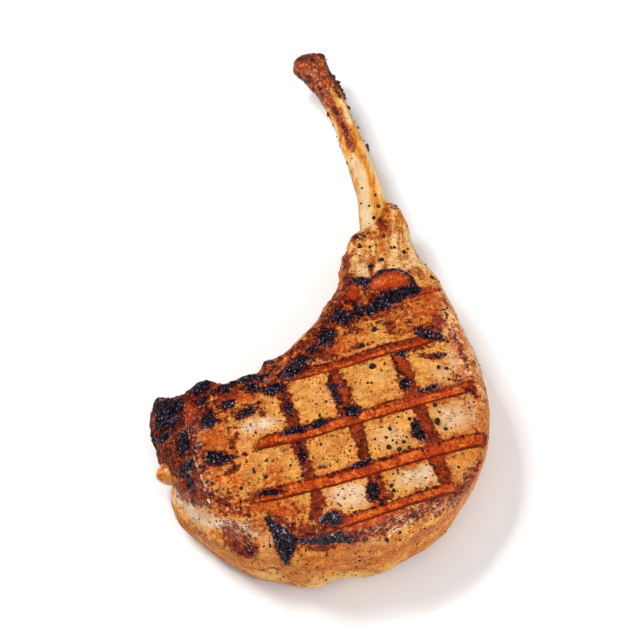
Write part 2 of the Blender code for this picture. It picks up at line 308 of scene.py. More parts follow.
# Each patch: x, y, long radius, short radius (mm), turn (degrees), strength
CREAM = ((62, -67, 3.5, 7, 10, 0.65), (-20, -122, 3, 6, -20, 0.45), (-24.5, -73.5, 8, 3.2, 6, 1.0), (-31, -80, 4, 2, 0, 0.45), (28, -79, 8, 6, 0, 0.55),
         (53, -70, 7, 7, 20, 0.8), (12, -104.5, 8, 5.5, 0, 1.0), (39, -96, 10.5, 5, 17, 0.9),
         (0, -60, 7, 6, 0, 0.3), (24, -52, 9, 5, 15, 0.3), (50, -50, 7, 5, 10, 0.5),
         (55, -44, 3.5, 8, 15, 0.6), (65.5, -46, 2.8, 15, 8, 0.9), (57, -62, 3, 4, 10, 0.4),
         (54, -18, 3, 9, 20, 0.5), (17, 6, 3, 8, 0, 0.9), (-22, -119, 3.5, 2.4, -50, 0.55),
         (33, 16, 5, 16, 8, 0.5), (30, 6, 8, 5, 0, 0.4))
BROWN = ((60, -36, 4, 9, 15, 0.55), (47, -29, 7, 6, 0, 0.6), (10.5, 6, 2.6, 13, 0, 1.0), (28, 33, 4, 10, 10, 0.9), (24, 24, 9, 4, 20, 0.6),
         (-32, -123, 9, 5, -30, 0.6), (12, -38, 12, 4, 22, 0.7), (-20, -106, 16, 5, -8, 0.7),
         (-40, -92, 10, 5, 0, 0.7), (44, -56, 4, 9, 15, 0.4), (64, -72, 4, 12, 0, 0.4),
         (-18, -97, 6, 8, 0, 0.8), (-27, -65, 9, 3, 12, 0.6), (52, -87, 7, 3, 17, 0.5), (25, -60, 7, 2, 18, 0.6),
         (8, -77, 8, 2, 18, 0.5), (28, -72, 7, 2, 18, 0.5), (-30, -78, 7, 4, 15, 0.5), (-36, -82, 4, 8, 0, 0.8), (12.5, -29, 5, 5, 20, 0.8), (15.5, -26.5, 6, 3, 20, 0.9), (42, -2, 6, 2.5, -20, 0.7),
         (7, -83, 6, 5, 15, 0.45), (8, -35, 8, 3.5, 25, 0.8), (17, -31, 5, 2.5, 20, 0.8), (-24, -115, 5, 3, -20, 0.8), (2, -56, 5, 3, 18, 0.5), (35, -91.5, 8, 2, 17, 0.85),
         (6, -44, 9, 3, 18, 0.7), (9, -10, 3, 8, -20, 0.8), (21, 6, 8, 7, 0, 0.4))
STAINS = ((2, -108.5, 4, 1.6, 10, 0.65), (35, -110, 6, 1.8, 25, 0.65), (53, -20, 2.2, 6, 15, 0.6),
          (-8, -118, 8, 2.4, 0, 0.6), (10, -46, 9, 1.8, 20, 0.6), (45, -42, 6, 2.5, -12, 0.8), (26, -20.5, 11, 3, 24, 0.85), (29, -29, 2.4, 6, 12, 0.75),
          (18, -88, 4, 6, 15, 0.7), (-20, -103.5, 9, 2.4, 12, 1.0), (-31, -110.5, 7, 1.4, -10, 0.8),
          (38, -38.5, 11, 2.2, 16, 0.8), (18, -43.5, 8, 2.2, 18, 0.8), (-33.5, -77.5, 1.6, 3.4, 10, 0.8),
          (48, -104, 7, 2, 35, 0.8), (0, -125.5, 10, 1.6, 3, 0.8), (52, -12, 2.5, 8, 15, 0.5),
          (-46, -60, 6, 4, 0, 0.7), (-8, -38, 7, 4, 40, 0.7), (3, -42, 8, 3, 25, 0.85),
          (21.5, 1, 1.5, 5.5, -5, 0.85), (16, 23.5, 3, 3.5, 0, 0.8), (27.5, 31, 2.6, 6, 12, 1.0),
          (32, 41, 4, 4, 0, 0.6), (12, -4, 3, 4.5, 0, 0.9), (-23.5, -68.5, 2, 2.4, 0, 0.8), (11, 8, 2, 9, 0, 0.8), (4, -11, 2.5, 6, -30, 0.75),
          (-9, -30, 3, 3, 0, 0.7), (-36, -81, 2, 4, 0, 0.75), (-34, -93, 5, 1.9, 25, 0.9),
          (-38, -63, 9, 1.6, 22, 0.7), (-3, -113, 3, 3, 0, 0.7), (27, -104.5, 2.5, 3, 0, 0.8), (15, -25, 4, 2, 20, 0.6),
          (9.5, -15, 1.8, 6, -20, 0.8), (17.5, -13, 1.2, 5, -15, 0.6), (13.5, -13.5, 4, 7, -20, 0.95),
          (24, -27, 9, 2, 20, 0.6), (16, -38, 9, 1.6, 20, 0.6), (14, -31, 5, 2, 20, 0.7), (-27, -113, 3, 2.4, 0, 0.6))
RUST = ((29.5, -6.9, 7.5, 3.4, 16, 1.25), (13.8, -12.5, 2.2, 4.5, -20, 1.0), (46, -12, 4, 6, 0, 0.7), (44, -20, 6, 4, 0, 0.55),
        (-54, -68, 4, 4, 0, 0.9), (-64, -82, 3, 7, 20, 0.8), (-50, -99, 2.4, 4, 25, 0.8), (-30, -61, 12, 2.4, 22, 0.8),
        (8, -39, 8, 3, 22, 0.7), (-42, -79, 6, 5, 0, 0.6), (20, -115, 16, 2.4, 12, 0.8), (-18, -110, 10, 2.2, -6, 0.8))
PLUM = ((16, -17, 2, 4, -25, 0.7), (11.5, -10.5, 1.6, 4, -20, 0.6), (-31, -120, 8.5, 4, -42, 1.2), (-56, -62, 12, 6, 10, 0.5), (-50, -88, 4, 12, 10, 0.5), (50, -26, 4.5, 6, 0, 0.7), (25, -108, 4.5, 3, 0, 0.75),
        (57, -53, 5, 2.2, -50, 0.8), (55, -33, 2, 7, 20, 0.6))
DARK = ((-40, -88, 8, 3.5, 4, 0.8), (-33, -67, 10, 2.4, 30, 0.6), (45, -30, 8, 3.4, -10, 0.8),
        (2, -120.5, 13, 2.4, 3, 1.0), (30, -113.5, 12, 1.4, 18, 0.6), (14, -11, 3, 10, -20, 0.4),
        (22, 13, 1.6, 14, 3, 0.5), (-38, -60, 10, 3, 15, 0.6), (-27, -123.5, 3.5, 2.2, -40, 1.0), (-5, -50.5, 10, 1.6, 18, 0.75), (-19, -82, 7, 1.5, 18, 0.7),
        (-21, -104.4, 7, 1.4, 14, 0.8), (40, -35.5, 9, 1.1, 18, 0.5), (9, -115, 5, 1.5, 18, 0.6))
CHAR = ((-61.5, -66, 5.5, 6.5, 10, 1.15), (-66, -61, 3, 3, 0, 0.8), (-49, -57, 4, 3.5, 0, 1.1),
        (-47.5, -63, 2.4, 3.5, 0, 0.75), (-45, -71, 2.8, 3.4, 0, 1.05), (-55.5, -80, 2.6, 5.5, 10, 1.05),
        (-54, -90, 3, 3, 20, 0.95), (-51.5, -97, 2.2, 3.5, 20, 0.9), (-63, -74.5, 4.5, 1.5, -20, 0.9),
        (-49, -53, 5, 3, 10, 1.05), (-38.5, -57, 5.5, 2.2, 25, 1.0), (-29, -53.5, 8, 2, 10, 1.05),
        (-27, -58, 3.4, 1.8, 10, 0.9), (-19, -58, 4.5, 2.6, 0, 1.0), (-10, -48.5, 7, 3.0, 42, 1.1),
        (-21.5, -43.5, 3, 3, 0, 0.75), (3, -34, 5, 3.6, 40, 1.05), (9, -24.5, 4.6, 3.2, -30, 1.1),
        (15.5, -20.5, 2.4, 3.6, -30, 1.0), (17.5, -6.5, 4, 2.2, -10, 1.1), (38.5, -9.3, 2.6, 2.2, 20, 1.1),
        (43.5, -31, 4.5, 2.4, -12, 1.1), (49, -32.5, 3, 2.4, 0, 0.75), (48.5, -42, 4, 1.4, -10, 0.7),
        (-29.5, -67.5, 5, 1.7, 27, 1.0), (-37.5, -65.2, 3.4, 1.6, 15, 1.0), (-41, -88, 5, 2.6, 0, 1.1),
        (-43, -85.3, 3.6, 1.1, 5, 0.9), (-34.5, -88, 2.6, 1.1, 10, 0.65), (-29.5, -86, 2, 1.0, 0, 0.5),
        (-9.5, -75.6, 5.5, 1.5, 14, 1.05), (-0.5, -73, 4, 1.4, 18, 1.0), (12.5, -68, 3.4, 2.4, 15, 1.15),
        (5, -56.7, 2.6, 2.2, 0, 1.05), (7.5, -62, 1.8, 5, 18, 0.85), (34, -55, 2.2, 3, 0, 1.05),
        (39.3, -76.3, 1.9, 5, 20, 1.2), (4.4, -114.5, 4.4, 2.7, 8, 1.25), (5, -122, 7.5, 2.0, 2, 1.2),
        (20.5, -103.5, 2.5, 3.4, 10, 1.3), (17, -90.5, 4.4, 1.6, 25, 0.85), (-20, -103.2, 6, 1.4, 10, 0.95),
        (45, -57, 5, 1.3, 17, 0.8), (-7.5, -87, 1.8, 6, 18, 0.75), (24, -107.5, 2, 1.6, 0, 0.7),
        (61.5, -58.5, 3.4, 1.2, -45, 0.75), (-12.5, -66, 1.8, 5, 15, 0.75), (2, -91.5, 3, 1.3, 18, 0.5),
        (34, -41.5, 2.2, 1.6, 0, 0.8), (14, -38, 3, 1.4, 25, 0.5), (-3, -39.5, 4, 2, 45, 0.8))
WET_PATCHES = ((-46, -106, 16, 6, -35, 1.0), (4, -122, 9, 3, 2, 1.0), (-15, -120, 6, 3, -65, 0.8),
               (36, -114, 24, 4, 28, 1.0), (-50.5, -92, 2, 6, 15, 0.4), (-26, -118, 8, 4, -30, 0.9),
               (57, -50, 5, 16, 8, 0.3), (-24, -72, 6, 3, 8, 0.12), (-50, -80, 1.6, 9, 8, 0.5), (-57, -75, 5, 1.4, 15, 0.5), (30, -7, 9, 4, 12, 0.3), (24, -117, 22, 2.5, 17, 0.8),
               (4, -114.5, 5, 3, 0, 0.6))
# Lines of char: half width, strength, then the points they run through
CHAR_LINES = ((2.8, 1.15, ((20.5, -19), (25, -16.8), (31, -14))),
              (2.4, 1.15, ((31, -13.8), (36, -11.6), (41, -9.2))),
              (1.0, 0.95, ((20.5, -7), (22.5, -4.4), (25, -2.4), (28, -1.4), (31, -0.8), (37, -3), (40, -6))),
              (1.3, 0.9, ((-9, -122.5), (-4, -123), (0, -122.5))))
LOBE_EDGE = ((-57, -91.5), (-51.5, -99.5), (-45, -104.5), (-36, -108.5), (-26, -110.5), (-19, -112))
# Pale lines: half width, strength, then the points they run through. The last two are painted highlights along the
# glossy crease of the left end.
CREAM_LINES = ((2.0, 1.35, ((-57.5, -98), (-52, -105), (-46, -110), (-39, -113.3), (-32, -115.5), (-26, -116.5))),
               (0.9, 0.75, ((-14, -53), (-5, -48), (3, -42), (10, -33), (16, -25))),
               (1.3, 0.8, ((20, 4), (19, -3), (18, -10))),
               (0.8, 0.7, ((19.5, -11), (18, -16), (15.5, -20.5))),
               (0.75, 1.1, ((-51, -86), (-49, -91), (-47, -96), (-45, -101))),
               (0.6, 1.05, ((-68.5, -78), (-62, -76.6), (-57, -74.7), (-53, -73), (-52.3, -79), (-51, -86))))
PLUM_LINES = ((1.7, 0.7, ((54.5, -28), (59, -39), (61.5, -50), (64, -61))),)
STAIN_LINES = ((2.2, 0.85, ((19, -12), (21.5, -7.5), (26, -4), (31, -2.6), (37, -4.5), (40, -8))),
               (2.2, 1.1, ((21, -13.8), (28, -10.8), (36, -7.3))))
# Dips and rises of the burnt rim: x, y, long radius, short radius (mm), turn, depth (mm)
DIPS = ((-64, -56.5, 4, 4, 0, 1.5), (-58.5, -55.5, 4, 4, 20, 1.2), (-42, -50.5, 6, 3, 5, 1.0),
        (-28, -47.5, 3, 2.4, 0, 1.0), (-55, -53.5, 3.5, 3, 0, 1.0), (-38, -50.5, 3.5, 2.2, 0, 1.2))
RISES = ((-46.5, -51, 2.2, 1.8, 0, 0.7), (-68, -58, 2.6, 2.6, 0, 0.8))
SPREAD = 0.8


def distance_to_line(x, y, knots):
    """Distance in plan from each point to a line through knots."""
    nearest = np.full(len(x), 1e9)
    for (ax, ay), (bx, by) in zip(knots, knots[1:]):
        run_x, run_y = bx - ax, by - ay
        part = ((x - ax) * run_x + (y - ay) * run_y) / (run_x ** 2 + run_y ** 2)
        part = np.clip(part, 0, 1)
        nearest = np.minimum(nearest, np.hypot(x - ax - part * run_x, y - ay - part * run_y))
    return nearest


def zones(x, y, table):
    """The strongest of several soft-bordered zones at each point."""
    most = np.zeros(len(x))
    for strength, softness, outline in table:
        closed = outline + outline[:1]
        inside = np.zeros(len(x), dtype=bool)
        for (ax, ay), (bx, by) in zip(closed, closed[1:]):
            if ay != by:
                inside ^= ((ay > y) != (by > y)) & (x < ax + (bx - ax) * (y - ay) / (by - ay))
        depth = distance_to_line(x, y, closed) * np.where(inside, 1, -1)
        most = np.maximum(most, strength * rise(depth, -softness, softness))
    return most


def patches(x, y, table):
    """The strongest of several soft elliptical patches at each point."""
    most = np.zeros(len(x))
    for middle_x, middle_y, long, short, turn, strength in table:
        angle = math.radians(turn)
        along = ((x - middle_x) * math.cos(angle) + (y - middle_y) * math.sin(angle)) / long
        across = ((y - middle_y) * math.cos(angle) - (x - middle_x) * math.sin(angle)) / short
        most = np.maximum(most, strength * np.exp(-SPREAD * (along ** 2 + across ** 2)))
    return most


def lines(x, y, table):
    """The strongest of several soft lines at each point."""
    most = np.zeros(len(x))
    for half, strength, knots in table:
        most = np.maximum(most, strength * np.exp(-(distance_to_line(x, y, knots) / half) ** 2))
    return most


def lumps(size, low, high, seed):
    """Blotches of about the given size, where noise rises from low to high."""
    return rise(layered(SKIN, (size, size, size), 3, seed), low, high)


DRIFT = np.stack([layered(SKIN, (7, 7, 7), 2, 5), layered(SKIN, (7, 7, 7), 2, 6)]) * 1.6
PX, PY = X + DRIFT[0], Y + DRIFT[1]
LEAN_RUN = math.radians(24)
run = X * math.cos(LEAN_RUN) + Y * math.sin(LEAN_RUN)
over = Y * math.cos(LEAN_RUN) - X * math.sin(LEAN_RUN)
DARK_LINES = ((1.2, 1.3, ((-56, -91), (-50.5, -98.7), (-44, -103.6), (-36, -107.4))), (1.3, 0.85, ((-13, -51.8), (10, -44.2), (30, -37.5), (46, -32.2))),
              (0.9, 0.7, ((22, -66.9), (34, -63.2), (46, -59.2), (58, -55))),
              (0.9, 0.7, ((4, -96.2), (18, -91.5), (34, -86.3))))
STREAK = layered(np.stack([run, over, Z], axis=1), (8, 1.3, 6), 3, seed=8)
NECK_STREAK = layered(SKIN, (1.9, 16, 3), 3, seed=9)
# Painted highlight streaks; each patch: x, y, long radius, short radius (mm), turn (degrees), strength. SHEENS lie on
# the wet near rim, LOBE_SHEENS on the fat lobe and its bruise.
SHEENS = ((34, -113.5, 22, 3.0, 26, 0.85), (57, -95, 9, 2.0, 52, 0.6), (8, -119, 8, 2, 5, 0.6))
LOBE_SHEENS = ((-29, -118.5, 5, 2.8, -42, 1.0), (-44.5, -110, 11, 1.6, -35, 0.7), (-24, -118, 3, 2.5, -40, 0.7))
print("zones", len(BROWN_ZONES) + len(DARK_ZONES) + len(STAIN_ZONES), "patches",
      len(CREAM) + len(BROWN) + len(STAINS) + len(DARK) + len(CHAR))

# %% Lay them over the whole skin
RIM = SIDE * rise(Z, 20, 31) * (1 - 0.8 * rise(X, 54, 60) * rise(Y, -74, -62))
FOOT = SIDE * (1 - rise(Z, 0.5, 4.5))
streaky = zones(X, Y, ((1.0, 5, LEFT_FIELD), (1.0, 4, HOLLOW_STRIP), (0.7, 5, UNDER_FLAP), (1.0, 4, LEFT_END)))
near_bars = late_bars(X, Y, [(*bar[:4], 1.9 * bar[4]) for bar in LATE_BARS], LOOSE_WANDER)[0]
near_early = early_bars(X, Y, [(*bar[:2], 1.6 * bar[2], bar[3]) for bar in EARLY_BARS], 1.5 * LOOSE_WANDER)[0]
near_bars = np.maximum(near_bars, 0.8 * near_early * crossed)
crease = np.exp(-((Z - 16 - 2.5 * noise(SKIN, 22, 53)) / 0.8) ** 2) * lumps(12, -0.2, 0.3, 54)
left_end = rise(-X, 52, 60) * rise(Y, -92, -84)

low_pale = 1.0 * np.exp(-((X - 7) / 16) ** 4 - ((Z - 9) / 7) ** 2)
low_pale = np.maximum(low_pale, 0.9 * np.exp(-((X + 20) / 8) ** 2 - ((Z - 13) / 9) ** 2))
low_pale = np.maximum(low_pale, 0.6 * np.exp(-((X - 28) / 8) ** 2 - ((Z - 12) / 5) ** 2)) * (Y < -95)
FAT_HERE = rise(X, 48, 60) + rise(-Y, 118, 124)
UPPER = UP + SIDE * rise(Z, 20, 30)
CREAM_MASK = np.maximum(patches(PX, PY, CREAM), lines(PX, PY, CREAM_LINES[:-2])) * (1 - 0.4 * streaky)
# A broken pale line along the left end's crease: a painted highlight, which also clears the brown, dark and char there.
painted_crease_highlight = lines(X + 0.4 * DRIFT[1], Y, CREAM_LINES[-2:]) * lumps(3.5, -0.6, -0.1, 67)
CREAM_MASK = np.maximum(CREAM_MASK, painted_crease_highlight) * UPPER
CREAM_MASK += SIDE * (0.75 * low_pale + 0.35 * lumps(9, 0.1, 0.5, 51)) + 0.8 * FLAT_UNDER * lumps(15, 0.0, 0.5, 52)

brown_top = np.maximum(patches(PX, PY, BROWN), zones(PX, PY, BROWN_ZONES))
brown_top = np.maximum(brown_top, 0.62 * near_bars) + 0.3 * streaky * STREAK
on_neck = rise(Y, -4, 4) * UPPER
brown_top *= 1 - 0.7 * painted_crease_highlight
brown_top += on_neck * (0.42 * rise(NECK_STREAK, 0.1, 0.45) + 0.18 * lumps(9, 0.0, 0.5, 63))
CREAM_MASK += on_neck * 0.85 * rise(-NECK_STREAK, -0.15, 0.35)
hollow_wall = SIDE * rise(SKIN_NORMAL[:, 1] - SKIN_NORMAL[:, 0], 0.4, 1.0) * rise(-Y, -25, -15)
BROWN_MASK = brown_top * UP + 0.85 * RIM + 0.9 * FOOT + SIDE * (0.8 * crease + 0.4 * lumps(7, 0.1, 0.6, 55))
BROWN_MASK += 0.55 * hollow_wall
BROWN_MASK += FLAT_UNDER * (0.35 + 0.6 * lumps(16, -0.1, 0.5, 56))

dark_top = np.maximum(patches(PX, PY, DARK), zones(PX, PY, DARK_ZONES))
dark_top = np.maximum(dark_top, lines(X, Y, DARK_LINES))
dark_top = dark_top + streaky * rise(STREAK, -0.1, 0.6) * 0.62
dark_top = dark_top * (1 - 0.8 * painted_crease_highlight) * (1 - 0.8 * patches(PX, PY, ((-53.5, -67.5, 3.5, 4, 0, 1.0), (14, -12.5, 3, 5, -20, 0.8))))
DARK_MASK = dark_top * UP + SIDE * (0.95 * left_end + 0.3 * RIM * lumps(6, 0.1, 0.5, 57))
DARK_MASK += SIDE * 0.8 * dark_top * rise(Z, 24, 32) + FLAT_UNDER * 0.5 * lumps(10, 0.2, 0.6, 58)

STAIN = np.maximum(STAIN, np.maximum(patches(PX, PY, STAINS), zones(PX, PY, STAIN_ZONES)) * UPPER)
STAIN = np.maximum(STAIN, lines(PX, PY, STAIN_LINES) * UPPER)
border = rise(BAR, 0.0, 0.3) * (1 - rise(BAR, 0.6, 0.95))
STAIN = np.maximum(STAIN, 0.72 * border * lumps(5, -0.45, 0.35, 68))
STAIN = np.maximum(STAIN, 0.6 * SIDE * (1 - rise(Z, 0, 2.5)))
STAIN = np.maximum(STAIN, SIDE * 0.6 * rise(Z, 25, 31) * lumps(6, -0.1, 0.4, 61))
STAIN = np.maximum(STAIN, hollow_wall * 0.62 * lumps(5, -0.2, 0.4, 64))

char_top = np.maximum(patches(PX, PY, CHAR), lines(PX, PY, CHAR_LINES))
char_top = np.maximum(char_top, zones(PX, PY, ((1.3, 1.6, TRIANGLE),)))
cross_core = rise(early_top, 0.7, 1.0) * crossed * (0.6 + 0.5 * lumps(6, -0.3, 0.3, 65))
TAN = SIDE * (0.52 + 0.3 * layered(SKIN, (12, 12, 5), 2, 66) + 0.35 * rise(Z, 17, 27))
TAN += SIDE * (0.7 * (1 - rise(Z, 3, 17)) * rise(-X, 2, 22)) - 0.4 * rise(X, 40, 60) * SIDE
TAN = np.maximum(TAN, 0.5 * UP * FAT_HERE) * (1 - 0.8 * np.clip(SIDE * low_pale, 0, 1))
cross_core = 0.52 * np.maximum(cross_core, rise(early_under, 0.5, 0.8) * FLAT_UNDER)
RUST_MASK = np.maximum(patches(PX, PY, RUST) * UPPER, cross_core)
PLUM_MASK = np.maximum(patches(PX, PY, PLUM), lines(PX, PY, PLUM_LINES)) * UPPER
char_top = char_top + 0.25 * streaky * rise(STREAK, 0.2, 0.8)
char_top = char_top * (1 - 0.9 * painted_crease_highlight)
char_side = char_top * rise(Z, 22, 31) + 0.8 * left_end * lumps(5, 0.0, 0.4, 59)
CHAR_MASK = char_top * UP + SIDE * char_side + FLAT_UNDER * 0.9 * lumps(9, 0.45, 0.75, 60)
here_and_there = lumps(11, -0.25, 0.45, 62)
EDGE = np.maximum(0.36 * UPPER_EDGE + 0.26 * UPPER_EDGE * here_and_there,
                  0.55 * LEFT_EDGE * (1 - rise(BAR, 0.2, 0.5)) * (0.6 + 0.5 * here_and_there))
BUTTER = np.clip(0.55 * on_neck + 0.8 * SIDE, 0, 1)
# Masks for the painted highlight streaks.
SHEEN = patches(X, Y, SHEENS) * (UP + SIDE * rise(Z, 16, 26))
GLEAM = patches(X, Y, LOBE_SHEENS) * (UP + SIDE * rise(Z, 16, 26))
SPECKED = zones(PX, PY, ((1.0, 3, RIGHT_BAND), (0.6, 3, NEAR_RIM))) * UPPER
WET = 0.6 * patches(PX, PY, WET_PATCHES) * (UP + SIDE * rise(Z, 22, 30))
print("patches laid: cream", round(CREAM_MASK.mean(), 3), "brown", round(BROWN_MASK.mean(), 3),
      "dark", round(DARK_MASK.mean(), 3), "char", round(CHAR_MASK.mean(), 3))

# %% [markdown]
# ## Which skin is fat
# The fat band and the neck are paler, smoother and wetter than the lean eye. The
# nearest solid says which skin is fat. The answer is blurred over the skin, because on
# the real chop one browns into the other without a line.

# %% Tell fat from lean
FAT_BLUR_ROUNDS = 14


def nearest_gap(node, points):
    """Distance from each point to a solid, in millimetres."""
    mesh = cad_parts[node].data
    tree = BVHTree.FromPolygons([v.co for v in mesh.vertices], [p.vertices for p in mesh.polygons])
    return np.array([tree.find_nearest(Vector(point))[3] for point in points * MM]) / MM


def read_edges(mesh):
    """The two ends of every edge."""
    ends = np.empty(len(mesh.edges) * 2, dtype=np.int64)
    mesh.edges.foreach_get("vertices", ends)
    return ends.reshape(-1, 2)


def blur(values, ends, rounds):
    """Spread values along the skin by averaging each point with its neighbours."""
    first, second = ends.T
    count = np.bincount(ends.ravel(), minlength=len(values))
    for _ in range(rounds):
        total = np.bincount(first, values[second], len(values))
        total += np.bincount(second, values[first], len(values))
        values = 0.5 * values + 0.5 * total / count
    return values


EDGES = read_edges(body.data)
TO_FAT = blur(nearest_gap("meat", SKIN) - nearest_gap("fat_cap", SKIN), EDGES, 4)
neck = rise(Y, -4, 3) * UP
right_rim = rise(X + 0.25 * Y, 33, 41) * UP * rise(Y, -75, -55)
FAT_MASK = blur(np.clip(0.5 + TO_FAT / 3, 0, 1), EDGES, FAT_BLUR_ROUNDS)
FAT_MASK = np.clip(np.maximum.reduce([FAT_MASK, 0.9 * neck, 0.8 * right_rim]), 0, 1)
print("share of the skin that is fat", round(float((FAT_MASK > 0.5).mean()), 2))

# %% [markdown]
# ## Relief
# The heat has drawn the skin into relief: bars are pressed about a millimetre deep with
# a low lip, the cells between them swell, char stands up in crumbs, and the sides show
# strands that run round the chop. All of it is real geometry, pushed along the normals,
# so that it shows at the outline and in a print as well as in a render.

# %% Push the relief into the skin
PILLOW = layered(SKIN, (15, 15, 15), 2, seed=11)
FIBRE = layered(SKIN, (3.6, 3.6, 3.6), 3, seed=21)
CRUMB = layered(SKIN, (1.9, 1.9, 1.9), 2, seed=31)
STRAND = layered(SKIN, (17, 17, 2.8), 3, seed=41)
pressed = rise(BAR, 0.25, 0.9)
lip = rise(BAR, 0.0, 0.25) * (1 - rise(BAR, 0.25, 0.55))
charred = rise(CHAR_MASK, 0.3, 0.7)
ragged = rise(DARK_MASK + CHAR_MASK, 0.3, 0.9)
CREASES = (LOBE_EDGE, ((-55, -74), (-53.5, -80), (-52, -88), (-49, -95), (-45, -101)),
           ((-15, -54), (-5, -49), (3, -43), (10, -34), (17, -24)),
           ((-66, -76), (-60, -75), (-55, -73)))

LUMP = layered(SKIN, (6.5, 6.5, 6.5), 2, seed=15)
thin_edge = zones(X, Y, ((1.0, 4, LEFT_END), (0.8, 5, HOLLOW_STRIP)))
relief = 0.32 * PILLOW + (0.2 + 0.3 * ragged) * FIBRE + (0.09 + 0.12 * ragged) * CRUMB
relief += thin_edge * (0.75 * LUMP + 0.6 * FIBRE + 0.35 * CRUMB) + 0.3 * streaky * UP * STREAK
neck_edge = (SIDE + 0.4 * UPPER) * rise(-X, -18, -8) * rise(Y, -30, -15)
relief += neck_edge * (0.7 * LUMP + 0.55 * FIBRE)
relief += 0.2 * lip - 0.9 * pressed
relief -= 0.4 * rise(STAIN, 0.3, 0.9) * crossed * (1 - pressed) * (1 + 0.5 * FIBRE)
relief += SIDE * (0.22 * STRAND + 0.15 * FIBRE) + charred * (0.25 + 0.5 * CRUMB)
for knots in CREASES:
    relief -= 0.9 * UP * np.exp(-(distance_to_line(X, Y, knots) / 1.1) ** 2)
relief -= SIDE * 0.5 * np.exp(-((Z - 16 - 2.5 * noise(SKIN, 22, 53)) / 0.8) ** 2)
relief *= 1 - 0.6 * FLAT_UNDER
for middle_x, middle_y, long, short, turn, depth in DIPS + tuple((*spot[:5], -spot[5]) for spot in RISES):
    relief -= depth * patches(X, Y, ((middle_x, middle_y, long, short, turn, 1.0),)) * (1 - DOWN)

body.data.vertices.foreach_set("co", ((SKIN + SKIN_NORMAL * relief[:, None]) * MM).ravel())
body.data.update()
# fine follows the fine relief; it drives painted shade in its hollows and painted light on its bumps, and on the neck
# also lengthwise tone streaks.
fine = FIBRE * 0.5 + CRUMB * 0.4 + 0.6 * streaky * STREAK * UP + 0.3 * SIDE * STRAND - 0.6 * on_neck * NECK_STREAK
print("relief from", round(relief.min(), 2), "to", round(relief.max(), 2), "mm")

# %% Keep the masks on the skin
def keep(mesh, name, values):
    """Store one number per point under a name that materials can read."""
    layer = mesh.attributes.new(name, "FLOAT", "POINT")
    layer.data.foreach_set("value", np.asarray(values, dtype=np.float32))


for name, values in (("bar", BAR), ("edge", EDGE), ("low", LOWER_EDGE), ("stain", STAIN),
                     ("cream", CREAM_MASK), ("brown", BROWN_MASK), ("dark", DARK_MASK),
                     ("char", CHAR_MASK), ("fat", FAT_MASK), ("wet", WET), ("fine", fine),
                     ("plum", PLUM_MASK), ("rust", RUST_MASK), ("tan", TAN),
                     ("sheen", SHEEN), ("gleam", GLEAM), ("specked", SPECKED),
                     ("butter", BUTTER)):
    keep(body.data, name, values)
print("masks", [layer.name for layer in body.data.attributes if layer.data_type == "FLOAT"])

# %% [markdown]
# ## Two pieces with one crust
# The record has one finish for the lean meat and one for the browned fat, so the skin
# is cut in two where the solids meet. Both halves keep the normals of the whole skin,
# which hides the cut, and a wall through the chop closes each half where they part.

# %% Mark the fat band's faces
skin = bmesh.new()
skin.from_mesh(body.data)
skin.faces.ensure_lookup_table()
skin.verts.ensure_lookup_table()
origin = skin.verts.layers.int.new("origin")
for vert in skin.verts:
    vert[origin] = vert.index
FACE_TO_FAT = np.array([sum(TO_FAT[vert.index] for vert in face.verts) for face in skin.faces])


def reached(start, allowed):
    """Mark the faces that can be reached from one face over allowed faces."""
    found = np.zeros(len(allowed), dtype=bool)
    found[start] = True
    border = [skin.faces[start]]
    while border:
        for edge in border.pop().edges:
            for other in edge.link_faces:
                if allowed[other.index] and not found[other.index]:
                    found[other.index] = True
                    border.append(other)
    return found


is_fat = reached(int(FACE_TO_FAT.argmax()), FACE_TO_FAT > 0)
is_fat = ~reached(int(FACE_TO_FAT.argmin()), ~is_fat)


def cut_edges(vert):
    """The edges at a point that have meat on one side and fat on the other."""
    sides = [[is_fat[face.index] for face in edge.link_faces] for edge in vert.link_edges]
    return [edge for edge, side in zip(vert.link_edges, sides) if len(set(side)) == 2]


pinched = True
while pinched:
    pinched = [vert for vert in skin.verts if len(cut_edges(vert)) > 2]
    for vert in pinched:
        for face in vert.link_faces:
            is_fat[face.index] = True
print("fat faces", int(is_fat.sum()), "lean faces", int((~is_fat).sum()))

# %% Wall off the cut
seam = {vert.index: cut_edges(vert) for vert in skin.verts}
seam = {index: edges for index, edges in seam.items() if edges}
walk = [min(seam)]
while True:
    here = skin.verts[walk[-1]]
    onward = [edge.other_vert(here).index for edge in seam[here.index]]
    fresh = [index for index in onward if len(walk) < 2 or index != walk[-2]]
    if fresh[0] == walk[0]:
        break
    walk.append(fresh[0])
print("seam points", len(seam), "in one round", len(walk))
final_place = np.array([vert.co[:] for vert in skin.verts])
walk_place = final_place[walk]
middle = 0.5 * (walk_place[:, 2].max() + walk_place[:, 2].min())
off_middle = np.abs(walk_place[:, 2] - middle)
left_turn = int(np.argmin(off_middle + (walk_place[:, 0] > -0.02)))
right_turn = int(np.argmin(off_middle + (walk_place[:, 0] < 0.02)))
walk = walk[left_turn:] + walk[:left_turn]
right_turn = (right_turn - left_turn) % len(walk)
ONE_SIDE = walk[:right_turn + 1]
OTHER_SIDE = [walk[0]] + walk[:right_turn - 1:-1]


def zip_up(one, other):
    """Triangles between two rows of points that share both ends."""
    triangles = []
    a = b = 0
    while a < len(one) - 1 or b < len(other) - 1:
        can_a, can_b = a < len(one) - 1, b < len(other) - 1
        gap_a = np.linalg.norm(final_place[one[min(a + 1, len(one) - 1)]] - final_place[other[b]])
        gap_b = np.linalg.norm(final_place[one[a]] - final_place[other[min(b + 1, len(other) - 1)]])
        if can_a and (not can_b or gap_a < gap_b):
            triangles.append((one[a], one[a + 1], other[b]))
            a += 1
        else:
            triangles.append((one[a], other[b + 1], other[b]))
            b += 1
    return [points for points in triangles if len(set(points)) == 3]


